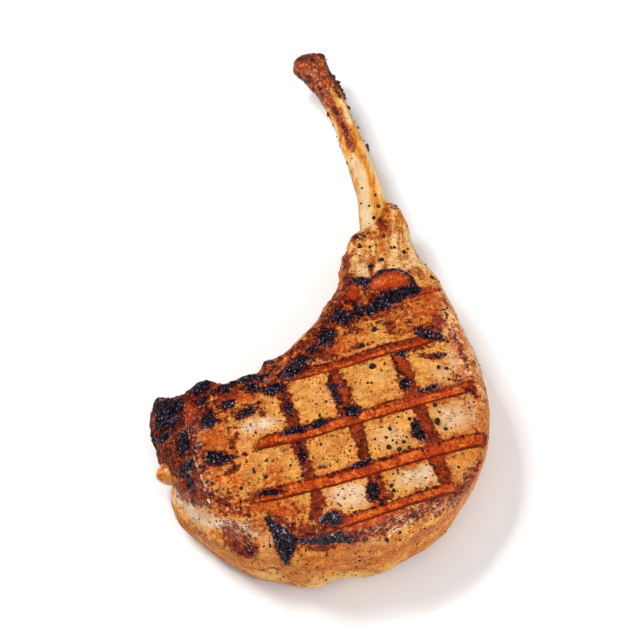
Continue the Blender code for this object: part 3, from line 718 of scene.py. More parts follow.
WALL = zip_up(ONE_SIDE, OTHER_SIDE)
print("wall", len(WALL), "triangles, edges", len(ONE_SIDE), len(OTHER_SIDE))

# %% Make the two pieces
body.data.update()
WHOLE_NORMAL = read_points(body.data)[1]


def cut_piece(name, keep_fat):
    """One closed piece: its share of the skin and the wall of the cut."""
    share = skin.copy()
    share.faces.ensure_lookup_table()
    gone = [face for face in share.faces if is_fat[face.index] != keep_fat]
    bmesh.ops.delete(share, geom=gone, context="FACES")
    mark = share.verts.layers.int["origin"]
    by_origin = {vert[mark]: vert for vert in share.verts}
    for corners in WALL:
        share.faces.new([by_origin[index] for index in corners])
    bmesh.ops.recalc_face_normals(share, faces=share.faces)
    order = [vert[mark] for vert in share.verts]
    mesh = bpy.data.meshes.new(name)
    share.to_mesh(mesh)
    open_edges = sum(not edge.is_manifold for edge in share.edges)
    share.free()
    mesh.attributes.remove(mesh.attributes["origin"])
    mesh.shade_smooth()
    mesh.normals_split_custom_set_from_vertices(WHOLE_NORMAL[order])
    print(name, len(mesh.polygons), "faces, open edges", open_edges)
    return new_piece(name, mesh)


meat = cut_piece("seared_meat", False)
fat = cut_piece("browned_fat_band", True)
skin.free()
SKIN_TREE = BVHTree.FromObject(body, bpy.context.evaluated_depsgraph_get())
bpy.data.objects.remove(body)

# %% [markdown]
# ## The rib bone
# Scraped and roasted, the rib shows three long facets with ridges between them, a
# crusted knob at the tip, and a few shreds of membrane. It gets a finer skin than the
# meat, since it is slimmer, and its masks follow its own run and width.

# %% Model the bone
BONE_CELL = 0.45 * MM


def fine_copy(node, name, cell, rounds):
    """A smooth, evenly meshed copy of a solid."""
    piece = new_piece(name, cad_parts[node].data.copy())
    piece.data.materials.clear()
    even = piece.modifiers.new("even skin", "REMESH")
    even.mode = "VOXEL"
    even.voxel_size = cell
    soft = piece.modifiers.new("smooth", "SMOOTH")
    soft.factor = 0.5
    soft.iterations = rounds
    settle(piece)
    piece.data.shade_smooth()
    print(name, len(piece.data.polygons), "faces")
    return piece


def push_out(piece, places, normals, amount):
    """Move a piece's points along their normals by millimetres."""
    piece.data.vertices.foreach_set("co", ((places + normals * amount[:, None]) * MM).ravel())
    piece.data.update()


bone = fine_copy("rib_bone", "roasted_rib_bone", BONE_CELL, 14)
BONE, BONE_NORMAL = read_points(bone.data)
BX, BY, BZ = BONE.T
stations = np.arange(BY.min() + 1, BY.max() - 1, 2.0)
near_station = [np.abs(BY - station) < 1.2 for station in stations]
left_side = np.interp(BY, stations, [BX[near].min() for near in near_station])
right_side = np.interp(BY, stations, [BX[near].max() for near in near_station])
ACROSS = 2 * (BX - left_side) / (right_side - left_side) - 1
print("bone runs from y =", round(BY.min()), "to", round(BY.max()), "mm")

ridges = layered(BONE, (2.4, 28, 2.4), 2, seed=71)
knobby = rise(BY, 96, 118)
crusted = layered(BONE, (3.2, 3.8, 3.2), 3, seed=72)
scabs = rise(layered(BONE, (2.4, 4.5, 2.4), 2, seed=73), 0.35, 0.6)
facet_edge = np.exp(-((ACROSS + 0.02) / 0.16) ** 2) + 0.8 * np.exp(-((ACROSS - 0.55) / 0.14) ** 2)
bone_relief = 0.3 * ridges * (1 - knobby) + 0.35 * facet_edge * (1 - knobby)
bone_relief += (0.12 + 0.55 * knobby) * crusted + 0.25 * scabs * (0.3 + knobby)
push_out(bone, BONE, BONE_NORMAL, bone_relief)

BONE_UP = rise(BONE_NORMAL[:, 2], -0.2, 0.3)
bone_drift = ACROSS + 0.18 * layered(BONE, (5, 14, 5), 2, seed=74)
bone_cream = np.exp(-((bone_drift + 0.5) / 0.42) ** 2) * rise(BY, 20, 30) * (1 - rise(BY, 64, 78))
bone_cream = np.maximum(bone_cream, 0.8 * np.exp(-((bone_drift + 0.95) / 0.2) ** 2) * rise(BY, 60, 70) * (1 - rise(BY, 86, 96)))
bone_cream = np.maximum(bone_cream, np.exp(-((bone_drift - 0.75) / 0.3) ** 2) * rise(BY, 40, 50) * (1 - rise(BY, 72, 84)))
bone_cream = np.maximum(bone_cream, np.exp(-((bone_drift - 0.45) / 0.28) ** 2) * rise(BY, 84, 90) * (1 - rise(BY, 98, 108)))
bone_orange = 0.85 * np.exp(-((bone_drift - 0.16) / 0.2) ** 2) * (1 - rise(BY, 86, 98))
bone_orange = bone_orange + 0.8 * rise(crusted + 0.5 * ridges, 0.1, 0.7) * rise(BY, 60, 90)
bone_streak = np.exp(-((bone_drift + 0.25 + 0.35 * rise(BY, 84, 106)) / 0.4) ** 2) * rise(BY, 66, 78) * (1 - rise(BY, 108, 116))
bone_brown = np.clip(rise(BY, 98, 116) * (1.0 + 0.4 * crusted) + 1.1 * bone_streak, 0, 1.3)
bone_brown += 0.5 * scabs * rise(BY, 40, 90) + 0.5 * np.exp(-((bone_drift - 1) / 0.25) ** 2) * (1 - rise(BY, 34, 48))
bone_char = rise(layered(BONE, (3.0, 4.0, 3.0), 2, seed=75), 0.1, 0.5) * rise(BY, 98, 118) * 0.75
bone_char = np.maximum(bone_char, 0.8 * rise(bone_streak, 0.6, 1.0) * rise(crusted, -0.3, 0.3))
bone_char = np.maximum(bone_char, 1.05 * patches(BX, BY, ((-8, 126, 3.5, 2.2, 25, 0.9), (6, 116, 1.6, 7, 25, 1.0),
                                                         (8.5, 106, 1.4, 4, 30, 0.9), (1, 128, 4, 2, 0, 0.8))))
for name, values in (("cream", bone_cream), ("orange", bone_orange), ("brown", bone_brown),
                     ("char", bone_char), ("fine", 0.6 * ridges + 0.6 * crusted)):
    keep(bone.data, name, values)

# %% Model the nub of fat at the chine end
nub = fine_copy("fat_nub", "rendered_fat_nub", 0.32 * MM, 8)
NUB, NUB_NORMAL = read_points(nub.data)
push_out(nub, NUB, NUB_NORMAL, 0.5 * layered(NUB, (3.4, 3.4, 3.4), 2, seed=81))
keep(nub.data, "fine", layered(NUB, (2.6, 2.6, 2.6), 2, seed=81))
BONE_TREE = BVHTree.FromObject(bone, bpy.context.evaluated_depsgraph_get())

# %% [markdown]
# ## Cracked pepper and crumbs of char
# Coarse pepper lies in the gold cells and on the neck, a few whole corns among it, and
# finer grit is spread all over. Black crumbs cling to the bone. Each grain is a lumpy
# chip sunk a third into the skin, and all grains of one kind are one mesh piece.

# %% Chips to scatter
# Each corn: x, y (mm) and size (mm)
CORNS = ((21.5, -47.5, 2.8), (46.5, -65, 2.0), (47, -72.5, 3.1), (50.5, -75.5, 1.7), (28, -76, 1.7),
         (25, -75, 1.0), (22, -80.5, 1.3), (27.5, -84, 2.1), (29, -81, 1.1), (30.5, -82, 1.3),
         (31.5, -85, 2.1), (33.5, -81.5, 1.6), (34.5, -79.5, 1.1), (35.5, -84, 1.7), (36, -71.5, 1.6),
         (37, -74, 1.8), (38.5, -76.5, 2.4), (40, -79.3, 2.2), (20.2, -101.5, 2.8), (20.8, -104, 2.7),
         (28, -100.5, 1.6), (29, -102.5, 1.6), (9.5, -106, 1.1), (8, -109, 1.2), (12.5, -110, 1.0),
         (7, -108.2, 1.0), (-26, -94, 1.6), (-7, -96, 1.7), (-21.5, -96.5, 1.5), (-31, -101, 1.5),
         (4.5, -57, 2.0), (22.5, -30, 2.5), (17.5, -37.5, 2.1), (12, -36, 1.1), (19.5, -55, 1.2),
         (21, -55, 1.2), (31.5, -41.5, 1.6), (48.5, -47.5, 1.7), (51.5, -41.5, 1.6), (52, -48, 1.5),
         (53, -35, 1.4), (41, -85, 1.3), (43, -85, 1.2), (38.5, -61, 1.2), (26, -122, 2.0),
         (31, -119, 1.4), (17.5, 17, 2.0), (28, 23, 1.7), (32.5, 16.5, 1.7), (36.5, 14, 2.0),
         (26.5, 8, 2.4), (48, -2, 1.8), (38, -1.5, 1.3), (16, 23, 2.0), (19.5, 23, 1.6),
         (24, 34.5, 2.0), (22, 41.5, 1.2), (18.5, 43.5, 1.2),
         (22, 4, 2.2))
KNOB_CRUMBS = ((5.7, 117.4, 2.4), (7.3, 113.8, 2.8), (8.2, 111.5, 2.0), (9, 109, 2.4), (9.6, 106.2, 2.2),
               (10.1, 103.7, 1.8), (11.5, 98.1, 2.0), (3.2, 95.2, 2.4), (-4.5, 110, 2.0), (8.2, 94.5, 1.8),
               (17.4, 87.6, 1.6), (15.5, 91, 1.1), (22.5, 77.4, 3.0), (23.4, 75.6, 2.2), (21, 80.5, 1.3),
               (12.6, 67.5, 1.3), (9, 77.4, 0.9), (17, 63, 1.1), (20.2, 51.5, 1.3), (18.7, 53.2, 0.9),
               (25.5, 41, 1.9), (24, 47, 1.5), (-9, 121, 1.6), (7, 96.5, 1.4))
rng = np.random.default_rng(20)


def chip(mesh, place, normal, size, sink, levels):
    """Add one lumpy chip to a bmesh, sunk into the surface, and return its points."""
    made = bmesh.ops.create_icosphere(mesh, subdivisions=levels, radius=1.0)["verts"]
    shape = np.array([vert.co[:] for vert in made])
    seed = int(rng.integers(1, 9999))
    shape *= (1 + 0.3 * noise(shape, 0.8, seed) + 0.12 * noise(shape, 0.35, seed + 1))[:, None]
    shape *= 0.5 * size * rng.uniform([0.85, 0.85, 0.6], [1.15, 1.05, 0.9])
    turn = Vector((0, 0, 1)).rotation_difference(normal).to_matrix()
    spin = rng.uniform(0, 2 * math.pi)
    flat = np.array([[math.cos(spin), -math.sin(spin), 0], [math.sin(spin), math.cos(spin), 0], [0, 0, 1]])
    shape = shape @ flat.T @ np.array(turn).T
    centre = np.array(place) / MM + np.array(normal) * size * (0.4 - sink)
    for vert, spot in zip(made, shape + centre):
        vert.co = spot * MM
    return made


def drop_down(x, y):
    """The highest spot of the chop at x, y, in metres, and its normal."""
    start = Vector((x * MM, y * MM, 60 * MM))
    hits = [tree.ray_cast(start, Vector((0, 0, -1))) for tree in (SKIN_TREE, BONE_TREE)]
    hits = [hit for hit in hits if hit[0] is not None]
    if not hits:
        return None
    best = max(hits, key=lambda hit: hit[0].z)
    return best[0], best[1]


def nearest_side(x, y, height):
    """The spot of the bone nearest to a point beside it."""
    found = BONE_TREE.find_nearest(Vector((x * MM, y * MM, height * MM)))
    return found[0], found[1]


def scatter(name, spots, sink, tones):
    """One mesh piece holding a chip at each spot, with its own tone."""
    grains = bmesh.new()
    tone = grains.verts.layers.float.new("tone")
    for place, normal, size in spots:
        shade = float(rng.uniform(*tones)) * min(1.0, 1.2 / size)
        for vert in chip(grains, place, normal, size, sink, 2 if size > 1.35 else 1):
            vert[tone] = shade
    mesh = bpy.data.meshes.new(name)
    grains.to_mesh(mesh)
    grains.free()
    mesh.shade_smooth()
    print(name, len(spots), "chips", len(mesh.polygons), "triangles")
    return new_piece(name, mesh)


# %% Scatter the pepper
GRIT_COUNT = 430
skin_place = (SKIN + SKIN_NORMAL * relief[:, None]) * MM
wanted = UP * (0.25 + 0.9 * neck + 1.1 * right_rim + 0.9 * (CREAM_MASK > 0.3) * (Y > -108)) * (1 - 0.7 * charred)
wanted = wanted + SIDE * (0.30 + 0.4 * FAT_MASK) * rise(Z, 5, 25) + 0.12 * DOWN
wanted = wanted * (1 + 1.5 * rise(layered(SKIN, (18, 18, 18), 2, seed=91), 0.0, 0.5))
picked = rng.choice(len(SKIN), GRIT_COUNT, replace=False, p=wanted / wanted.sum())
spots = [(*drop_down(x, y), size) for x, y, size in CORNS if drop_down(x, y)]
for index in picked:
    grit = float(np.clip(rng.lognormal(-0.65, 0.38), 0.3, 1.2))
    spots.append((Vector(skin_place[index]), Vector(SKIN_NORMAL[index]), grit))
pepper = scatter("cracked_pepper", spots, 0.3, (0.0, 1.0))

crumb_spots = [(*nearest_side(x, y, 19), size) for x, y, size in KNOB_CRUMBS]
for index in rng.choice(len(BONE), 70, replace=False, p=rise(BY, 40, 120) / rise(BY, 40, 120).sum()):
    crumb = float(np.clip(rng.lognormal(-0.5, 0.4), 0.3, 1.2))
    crumb_spots.append((Vector(BONE[index] * MM), Vector(BONE_NORMAL[index]), crumb))
crumbs = scatter("charred_crumbs", crumb_spots, 0.28, (0.0, 1.0))

# %% [markdown]
# ## Finishes
# Every finish is built from nodes, so that it holds at any distance. The masks on the
# mesh say where a colour belongs, and shader noise breaks its edges up finer than the
# mesh could. Effects that several finishes use are groups, made once.

# %% Helpers for node trees
def colour(red, green, blue):
    """A colour in everyday steps of 0 to 255, as the linear numbers of a shader."""
    parts = [value / 255 for value in (red, green, blue)]
    return [part / 12.92 if part < 0.04 else ((part + 0.055) / 1.055) ** 2.4 for part in parts] + [1]


def add(tree, kind, inputs=None, **settings):
    """Add a node, set its options, and give its inputs values or links."""
    item = tree.nodes.new(kind if kind.startswith("NodeGroup") else "ShaderNode" + kind)
    for name, value in settings.items():
        setattr(item, name, value)
    for name, value in (inputs or {}).items():
        if isinstance(value, bpy.types.NodeSocket):
            tree.links.new(value, item.inputs[name])
        else:
            item.inputs[name].default_value = value
    return item


def maths(tree, operation, first, second=0.0, third=0.0):
    """The result of one sum."""
    inputs = {0: first, 1: second}
    if operation == "MULTIPLY_ADD":
        inputs[2] = third
    return add(tree, "Math", inputs, operation=operation).outputs[0]


def ramp(tree, value, low, high, top=1.0):
    """From 0 at low to top at high, level at both ends."""
    inputs = {"Value": value, "From Min": low, "From Max": high, "To Max": top}
    return add(tree, "MapRange", inputs, interpolation_type="SMOOTHSTEP").outputs["Result"]


def blend(tree, under, over, mask):
    """One colour laid over another where the mask is 1."""
    return add(tree, "Mix", {0: mask, 6: under, 7: over}, data_type="RGBA").outputs[2]


def start_group(name, inputs, outputs):
    """A new node group: its tree, its named inputs and its named outputs."""
    tree = bpy.data.node_groups.new(name, "ShaderNodeTree")
    for label, kind, value in inputs:
        socket = tree.interface.new_socket(label, in_out="INPUT", socket_type="NodeSocket" + kind)
        socket.default_value = value
    for label, kind in outputs:
        tree.interface.new_socket(label, in_out="OUTPUT", socket_type="NodeSocket" + kind)
    return tree, add(tree, "NodeGroupInput").outputs, add(tree, "NodeGroupOutput").inputs


def use(tree, group, **values):
    """Place a group; a word of an input's name may be joined with an underscore."""
    inputs = {label.replace("_", " "): value for label, value in values.items()}
    return add(tree, "Group", inputs, node_tree=group).outputs


# %% Shared effect: drawn-out grain
GRAIN, given, result = start_group(
    "drawn-out grain", [("Size", "Vector", (3, 3, 3)), ("Layers", "Float", 3.0), ("Turn", "Float", 0.0)],
    [("Value", "Float")])
place = add(GRAIN, "TexCoord").outputs["Object"]
place = add(GRAIN, "VectorRotate", {"Vector": place, "Angle": given["Turn"]}, rotation_type="Z_AXIS").outputs[0]
in_mm = add(GRAIN, "VectorMath", {0: place, "Scale": 1000}, operation="SCALE").outputs[0]
in_sizes = add(GRAIN, "VectorMath", {0: in_mm, 1: given["Size"]}, operation="DIVIDE").outputs[0]
grain = add(GRAIN, "TexNoise", {"Vector": in_sizes, "Scale": 1.0, "Detail": given["Layers"], "Roughness": 0.6})
GRAIN.links.new(grain.outputs["Fac"], result["Value"])

# %% Shared effect: ragged edge
RAGGED, given, result = start_group(
    "ragged edge", [("Mask", "Float", 0.0), ("Size", "Float", 2.0), ("Raggedness", "Float", 0.4),
                    ("Softness", "Float", 0.1)], [("Mask", "Float")])
size = add(RAGGED, "CombineXYZ", {axis: given["Size"] for axis in "XYZ"}).outputs[0]
torn = use(RAGGED, GRAIN, Size=size, Layers=4.0)["Value"]
torn = maths(RAGGED, "MULTIPLY", maths(RAGGED, "SUBTRACT", torn, 0.5), 2.0)
torn = maths(RAGGED, "MULTIPLY", torn, ramp(RAGGED, given["Mask"], 0.0, 0.3))
value = maths(RAGGED, "MULTIPLY_ADD", torn, given["Raggedness"], given["Mask"])
low = maths(RAGGED, "SUBTRACT", 0.5, given["Softness"])
high = maths(RAGGED, "ADD", 0.5, given["Softness"])
RAGGED.links.new(ramp(RAGGED, value, low, high), result["Mask"])

# %% Shared effect: specks
SPECKS, given, result = start_group(
    "specks", [("Spacing", "Float", 2.0), ("Size", "Float", 0.2), ("Share", "Float", 0.5)], [("Mask", "Float")])
place = add(SPECKS, "TexCoord").outputs["Object"]
finer = maths(SPECKS, "DIVIDE", 1000.0, given["Spacing"])
shake = add(SPECKS, "TexNoise", {"Vector": place, "Scale": maths(SPECKS, "MULTIPLY", finer, 2.6), "Detail": 2.0})
shake = add(SPECKS, "VectorMath", {0: shake.outputs["Color"], "Scale": 0.0007}, operation="SCALE").outputs[0]
place = add(SPECKS, "VectorMath", {0: place, 1: shake}, operation="ADD").outputs[0]
dots = add(SPECKS, "TexVoronoi", {"Vector": place, "Scale": finer})
chance = add(SPECKS, "SeparateColor", {0: dots.outputs["Color"]}).outputs
reach = maths(SPECKS, "MULTIPLY", given["Size"], maths(SPECKS, "MULTIPLY_ADD", chance[1], 0.9, 0.4))
inside = ramp(SPECKS, maths(SPECKS, "SUBTRACT", reach, dots.outputs["Distance"]), -0.04, 0.05)
chosen = maths(SPECKS, "LESS_THAN", chance[0], given["Share"])
SPECKS.links.new(maths(SPECKS, "MULTIPLY", inside, chosen), result["Mask"])
print("shared effects", [group.name for group in bpy.data.node_groups])

# %% [markdown]
# ## The seared crust
# One group makes the crust for lean and fat alike, so colour runs over the cut without
# a step. Layers go on in the order in which heat made them: gold first, then browning,
# the broken early bars, the pressed late bars, and black char on top of all.
# Among them go painted shade in the hollows, painted highlights and glints, and painted sheen streaks.

# %% The crust's layers
CRUST_MASKS = ("Bar", "Edge", "Low", "Stain", "Cream", "Brown", "Dark", "Char", "Fat", "Wet", "Fine", "Plum", "Rust", "Tan",
               "Sheen", "Gleam", "Specked", "Butter")
CRUST, given, result = start_group(
    "seared crust", [(label, "Float", 0.0) for label in CRUST_MASKS],
    [("Color", "Color"), ("Roughness", "Float"), ("Gloss", "Float"), ("Height", "Float")])


def grain_of(tree, size, layers=3.0, turn=0.0):
    """Grain of one size in all directions, or of three sizes and turned by degrees in plan."""
    sizes = size if isinstance(size, tuple) else (size, size, size)
    return use(tree, GRAIN, Size=sizes, Layers=layers, Turn=math.radians(-turn))["Value"]


def ragged(tree, mask, size, raggedness, softness, top=1.0):
    """A mask with torn edges, scaled to a top value."""
    torn_mask = use(tree, RAGGED, Mask=mask, Size=size, Raggedness=raggedness, Softness=softness)["Mask"]
    return maths(tree, "MULTIPLY", torn_mask, top)


crisp, small, clumps, middling, broad = [grain_of(CRUST, size) for size in (0.4, 0.9, 1.9, 4.0, 12.0)]
strands = grain_of(CRUST, (14.0, 14.0, 1.6), 4.0)
hairs = grain_of(CRUST, (1.9, 0.6, 0.9), 2.0)
# sparks and the spots below pick where painted glints go
sparks = grain_of(CRUST, (0.65, 1.1, 0.8), 2.0)
grit = maths(CRUST, "MULTIPLY_ADD", clumps, 0.4, maths(CRUST, "MULTIPLY", middling, 0.3))
grit = maths(CRUST, "MULTIPLY_ADD", small, 0.3, grit)
glint_spots = ramp(CRUST, crisp, 0.6, 0.68)


def seared(shaded_hollow, slope, lit_crest, painted_glint, shift=0.0, share=0.3):
    """A grainy colour: painted shade in the hollows, painted light on the crests, and small painted glints."""
    shade = blend(CRUST, shaded_hollow, slope, ramp(CRUST, grit, 0.4 + shift, 0.49 + shift))
    shade = blend(CRUST, shade, lit_crest, ramp(CRUST, grit, 0.5 + shift, 0.6 + shift))
    shade = blend(CRUST, shade, painted_glint, maths(CRUST, "MULTIPLY", glint_spots, ramp(CRUST, grit, 0.42, 0.6, 0.7)))
    return blend(CRUST, shade, painted_glint, ramp(CRUST, sparks, 0.7 - 0.15 * share, 0.75 - 0.15 * share, 0.8))


def dotted(under, over, spacing, size, share, top):
    """A colour with small crisp dots of another on it."""
    dots = use(CRUST, SPECKS, Spacing=spacing, Size=size, Share=share)["Mask"]
    return blend(CRUST, under, over, maths(CRUST, "MULTIPLY", dots, top))


look = blend(CRUST, colour(212, 150, 72), colour(200, 130, 56), ramp(CRUST, middling, 0.38, 0.62))
look = blend(CRUST, look, colour(192, 104, 40), ramp(CRUST, broad, 0.5, 0.68, 0.6))
look = blend(CRUST, look, colour(234, 190, 116), ramp(CRUST, clumps, 0.53, 0.66, 0.5))
# Small pale flecks: painted highlights.
look = blend(CRUST, look, colour(240, 202, 130), ramp(CRUST, small, 0.54, 0.66, 0.3))
look = blend(CRUST, look, colour(166, 92, 36), ramp(CRUST, small, 0.45, 0.34, 0.4))
orange_spots = maths(CRUST, "MULTIPLY", ramp(CRUST, middling, 0.5, 0.62), ramp(CRUST, clumps, 0.44, 0.6))
look = blend(CRUST, look, colour(182, 84, 26), maths(CRUST, "MULTIPLY", orange_spots, 0.3))

fatty = blend(CRUST, colour(232, 168, 86), colour(202, 120, 46), ramp(CRUST, middling, 0.38, 0.6))
fatty = blend(CRUST, fatty, colour(160, 78, 26), ramp(CRUST, strands, 0.54, 0.68, 0.35))
# Pale clumps on the fat: painted highlights.
fatty = blend(CRUST, fatty, colour(246, 206, 138), ramp(CRUST, clumps, 0.54, 0.68, 0.5))
look = blend(CRUST, look, fatty, given["Fat"])
look = blend(CRUST, look, colour(180, 84, 24), maths(CRUST, "MULTIPLY", given["Tan"], 0.75))
look = blend(CRUST, look, colour(128, 54, 18), maths(CRUST, "MULTIPLY", given["Tan"], ramp(CRUST, strands, 0.5, 0.62, 0.4)))
look = blend(CRUST, look, colour(140, 62, 22), maths(CRUST, "MULTIPLY", given["Tan"], ramp(CRUST, clumps, 0.52, 0.64, 0.6)))
look = blend(CRUST, look, colour(236, 188, 112), maths(CRUST, "MULTIPLY", given["Tan"], ramp(CRUST, small, 0.55, 0.66, 0.4)))

pale = blend(CRUST, colour(218, 192, 164), colour(206, 162, 114), ramp(CRUST, middling, 0.4, 0.6))
pale = blend(CRUST, pale, colour(232, 184, 112), given["Butter"])
look = blend(CRUST, look, pale, ragged(CRUST, given["Cream"], 4.0, 0.5, 0.4, 0.95))
look = blend(CRUST, look, colour(134, 54, 20), ramp(CRUST, hairs, 0.6, 0.66, 0.8))
more_dots = maths(CRUST, "MULTIPLY_ADD", given["Brown"], 0.4, 0.28)
look = dotted(look, colour(138, 60, 22), 0.9, 0.3, 0.25, 0.75)
look = dotted(look, colour(112, 40, 18), 1.4, 0.33, more_dots, 0.9)
look = dotted(look, colour(56, 24, 18), 2.4, 0.26, more_dots, 0.95)

specks = maths(CRUST, "MULTIPLY_ADD", small, 0.65, maths(CRUST, "MULTIPLY", clumps, 0.35))
specks = maths(CRUST, "MULTIPLY_ADD", middling, 0.45, maths(CRUST, "MULTIPLY", specks, 0.55))
specked = blend(CRUST, colour(236, 186, 126), colour(198, 112, 66), ramp(CRUST, specks, 0.46, 0.52))
specked = blend(CRUST, specked, colour(104, 34, 26), ramp(CRUST, specks, 0.52, 0.56))
look = blend(CRUST, look, specked, maths(CRUST, "MULTIPLY", ramp(CRUST, given["Specked"], 0.1, 1.0), 0.8))

# Each seared colour below carries painted shade in its hollows, painted light on its crests and painted glints.
browned = seared(colour(96, 34, 14), colour(180, 80, 26), colour(222, 138, 60), colour(250, 210, 150))
look = blend(CRUST, look, browned, ragged(CRUST, given["Brown"], 2.6, 1.0, 0.3, 0.94))
darkened = seared(colour(30, 11, 9), colour(90, 28, 13), colour(176, 78, 32), colour(222, 160, 130))
look = blend(CRUST, look, darkened, ragged(CRUST, given["Dark"], 2.2, 1.0, 0.16, 0.95))

plum_look = blend(CRUST, colour(128, 40, 34), colour(58, 20, 22), ramp(CRUST, clumps, 0.47, 0.41))
plum_look = blend(CRUST, plum_look, colour(46, 18, 18), ramp(CRUST, given["Dark"], 0.4, 0.8, 0.85))
paler = maths(CRUST, "MULTIPLY_ADD", clumps, 0.5, maths(CRUST, "MULTIPLY", strands, 0.5))
plum_look = blend(CRUST, plum_look, colour(206, 166, 162), ramp(CRUST, paler, 0.53, 0.6, 0.75))
look = blend(CRUST, look, plum_look, ragged(CRUST, given["Plum"], 2.0, 0.9, 0.2, 0.9))
stained = seared(colour(38, 8, 8), colour(104, 24, 12), colour(162, 50, 20), colour(236, 158, 116), 0.02)
look = blend(CRUST, look, stained, ragged(CRUST, given["Stain"], 1.6, 0.9, 0.14, 0.95))
across_bar = maths(CRUST, "MULTIPLY_ADD", maths(CRUST, "SUBTRACT", small, 0.5), 0.9, given["Bar"])
bar_look = blend(CRUST, colour(210, 98, 34), colour(178, 60, 18), ramp(CRUST, middling, 0.4, 0.56))
bar_look = blend(CRUST, bar_look, colour(134, 34, 13), ramp(CRUST, clumps, 0.48, 0.62, 0.75))
# Light orange flecks and the pale sparks below are painted highlights on the bars.
bar_look = blend(CRUST, bar_look, colour(246, 164, 92), ramp(CRUST, small, 0.58, 0.68, 0.6))
bar_look = dotted(bar_look, colour(72, 20, 12), 1.4, 0.28, 0.35, 0.85)
# Pale sparks: painted glints.
bar_look = blend(CRUST, bar_look, colour(252, 196, 138), ramp(CRUST, sparks, 0.63, 0.7, 0.6))
bar_look = blend(CRUST, bar_look, stained, ragged(CRUST, given["Dark"], 2.0, 0.8, 0.2, 0.8))
in_bar = maths(CRUST, "MAXIMUM", ramp(CRUST, across_bar, 0.3, 0.8), ramp(CRUST, given["Rust"], 0.2, 0.5))
bar_look = blend(CRUST, bar_look, colour(158, 46, 18), ramp(CRUST, given["Stain"], 0.4, 0.8, 0.6))
# Darker towards both edges of each bar: painted shade that rounds the bar.
bar_look = blend(CRUST, colour(104, 28, 12), bar_look, in_bar)
rusty = ragged(CRUST, given["Rust"], 2.4, 0.8, 0.25, 0.9)
look = blend(CRUST, look, bar_look, maths(CRUST, "MAXIMUM", ramp(CRUST, across_bar, 0.22, 0.5), rusty))
# A dark line along each late bar's lower edge: painted shade.
look = blend(CRUST, look, colour(92, 24, 10), ragged(CRUST, given["Low"], 2.0, 0.6, 0.3, 0.85))

# Pale streaks laid into the colour: painted highlights on the wet rim and the lobe.
for streaks, place in ((grain_of(CRUST, (4.5, 0.7, 1.6), 2.0, 32), given["Sheen"]),
                       (grain_of(CRUST, (3.2, 0.6, 1.2), 2.0, -45), given["Gleam"])):
    shine = maths(CRUST, "MULTIPLY", ramp(CRUST, streaks, 0.53, 0.66, 0.7), ramp(CRUST, place, 0.2, 0.7))
    look = blend(CRUST, look, colour(240, 186, 146), shine)
edge_look = blend(CRUST, colour(30, 14, 16), colour(78, 20, 14), ramp(CRUST, small, 0.46, 0.56))
look = blend(CRUST, look, edge_look, ragged(CRUST, given["Edge"], 2.0, 1.2, 0.08, 0.95))
halo = maths(CRUST, "ADD", given["Char"], 0.17)
look = blend(CRUST, look, blend(CRUST, stained, plum_look, 0.4), ragged(CRUST, halo, 2.2, 1.0, 0.18, 0.9))
burnt = ragged(CRUST, given["Char"], 1.5, 1.1, 0.08, 0.98)
burnt_look = seared(colour(6, 6, 12), colour(16, 13, 22), colour(44, 30, 40), colour(176, 166, 186), 0.0, 0.45)
look = blend(CRUST, look, burnt_look, burnt)

# Painted shade: darker where the fine relief sinks, lighter where it rises.
hollow_shade = maths(CRUST, "MULTIPLY_ADD", given["Fine"], 0.34, 1.0)
toned = add(CRUST, "HueSaturation", {"Color": look, "Value": hollow_shade}).outputs[0]
CRUST.links.new(toned, result["Color"])
CRUST.links.new(maths(CRUST, "MULTIPLY_ADD", middling, 0.5, 0.1), result["Roughness"])
CRUST.links.new(given["Wet"], result["Gloss"])
height = maths(CRUST, "MULTIPLY_ADD", small, 0.5, clumps)
height = maths(CRUST, "MULTIPLY_ADD", crisp, 0.15, height)
height = maths(CRUST, "MULTIPLY_ADD", maths(CRUST, "MULTIPLY", small, burnt), 0.5, height)
rough = maths(CRUST, "MAXIMUM", maths(CRUST, "MAXIMUM", given["Brown"], given["Dark"]), given["Stain"])
rough = ramp(CRUST, maths(CRUST, "MAXIMUM", rough, given["Char"]), 0.1, 0.7)
height = maths(CRUST, "MULTIPLY", height, maths(CRUST, "MULTIPLY_ADD", rough, 0.5, 0.5))
CRUST.links.new(height, result["Height"])
print("crust nodes", len(CRUST.nodes))


# %% Materials for lean meat and browned fat
def start_material(name, **settings):
    """A new material and its Principled shader, with constant values on its sockets."""
    material = bpy.data.materials.new(name)
    material.use_nodes = True
    tree = material.node_tree
    tree.nodes.clear()
    shader = add(tree, "BsdfPrincipled", {label.replace("_", " "): value for label, value in settings.items()})
    ending = add(tree, "OutputMaterial")
    tree.links.new(shader.outputs[0], ending.inputs["Surface"])
    return material, tree, shader


def dress(piece, material):
    """Give a piece one material."""
    piece.data.materials.clear()
    piece.data.materials.append(material)


def mask(tree, name):
    """A mask that the mesh carries."""
    return add(tree, "Attribute", attribute_name=name).outputs["Fac"]


def bump(tree, shader, height, depth_mm, strength=1.0):
    """Fine relief from a height, in millimetres."""
    inputs = {"Height": height, "Distance": depth_mm * MM, "Strength": strength}
    tree.links.new(add(tree, "Bump", inputs).outputs[0], shader.inputs["Normal"])


def crust_material(name, depth_mm, **settings):
    """A material that wears the seared crust."""
    material, tree, shader = start_material(name, **settings)
    crust = use(tree, CRUST, **{label: mask(tree, label.lower()) for label in CRUST_MASKS})
    tree.links.new(crust["Color"], shader.inputs["Base Color"])
    tree.links.new(crust["Roughness"], shader.inputs["Roughness"])
    tree.links.new(crust["Gloss"], shader.inputs["Coat Weight"])
    bump(tree, shader, crust["Height"], depth_mm)
    return material


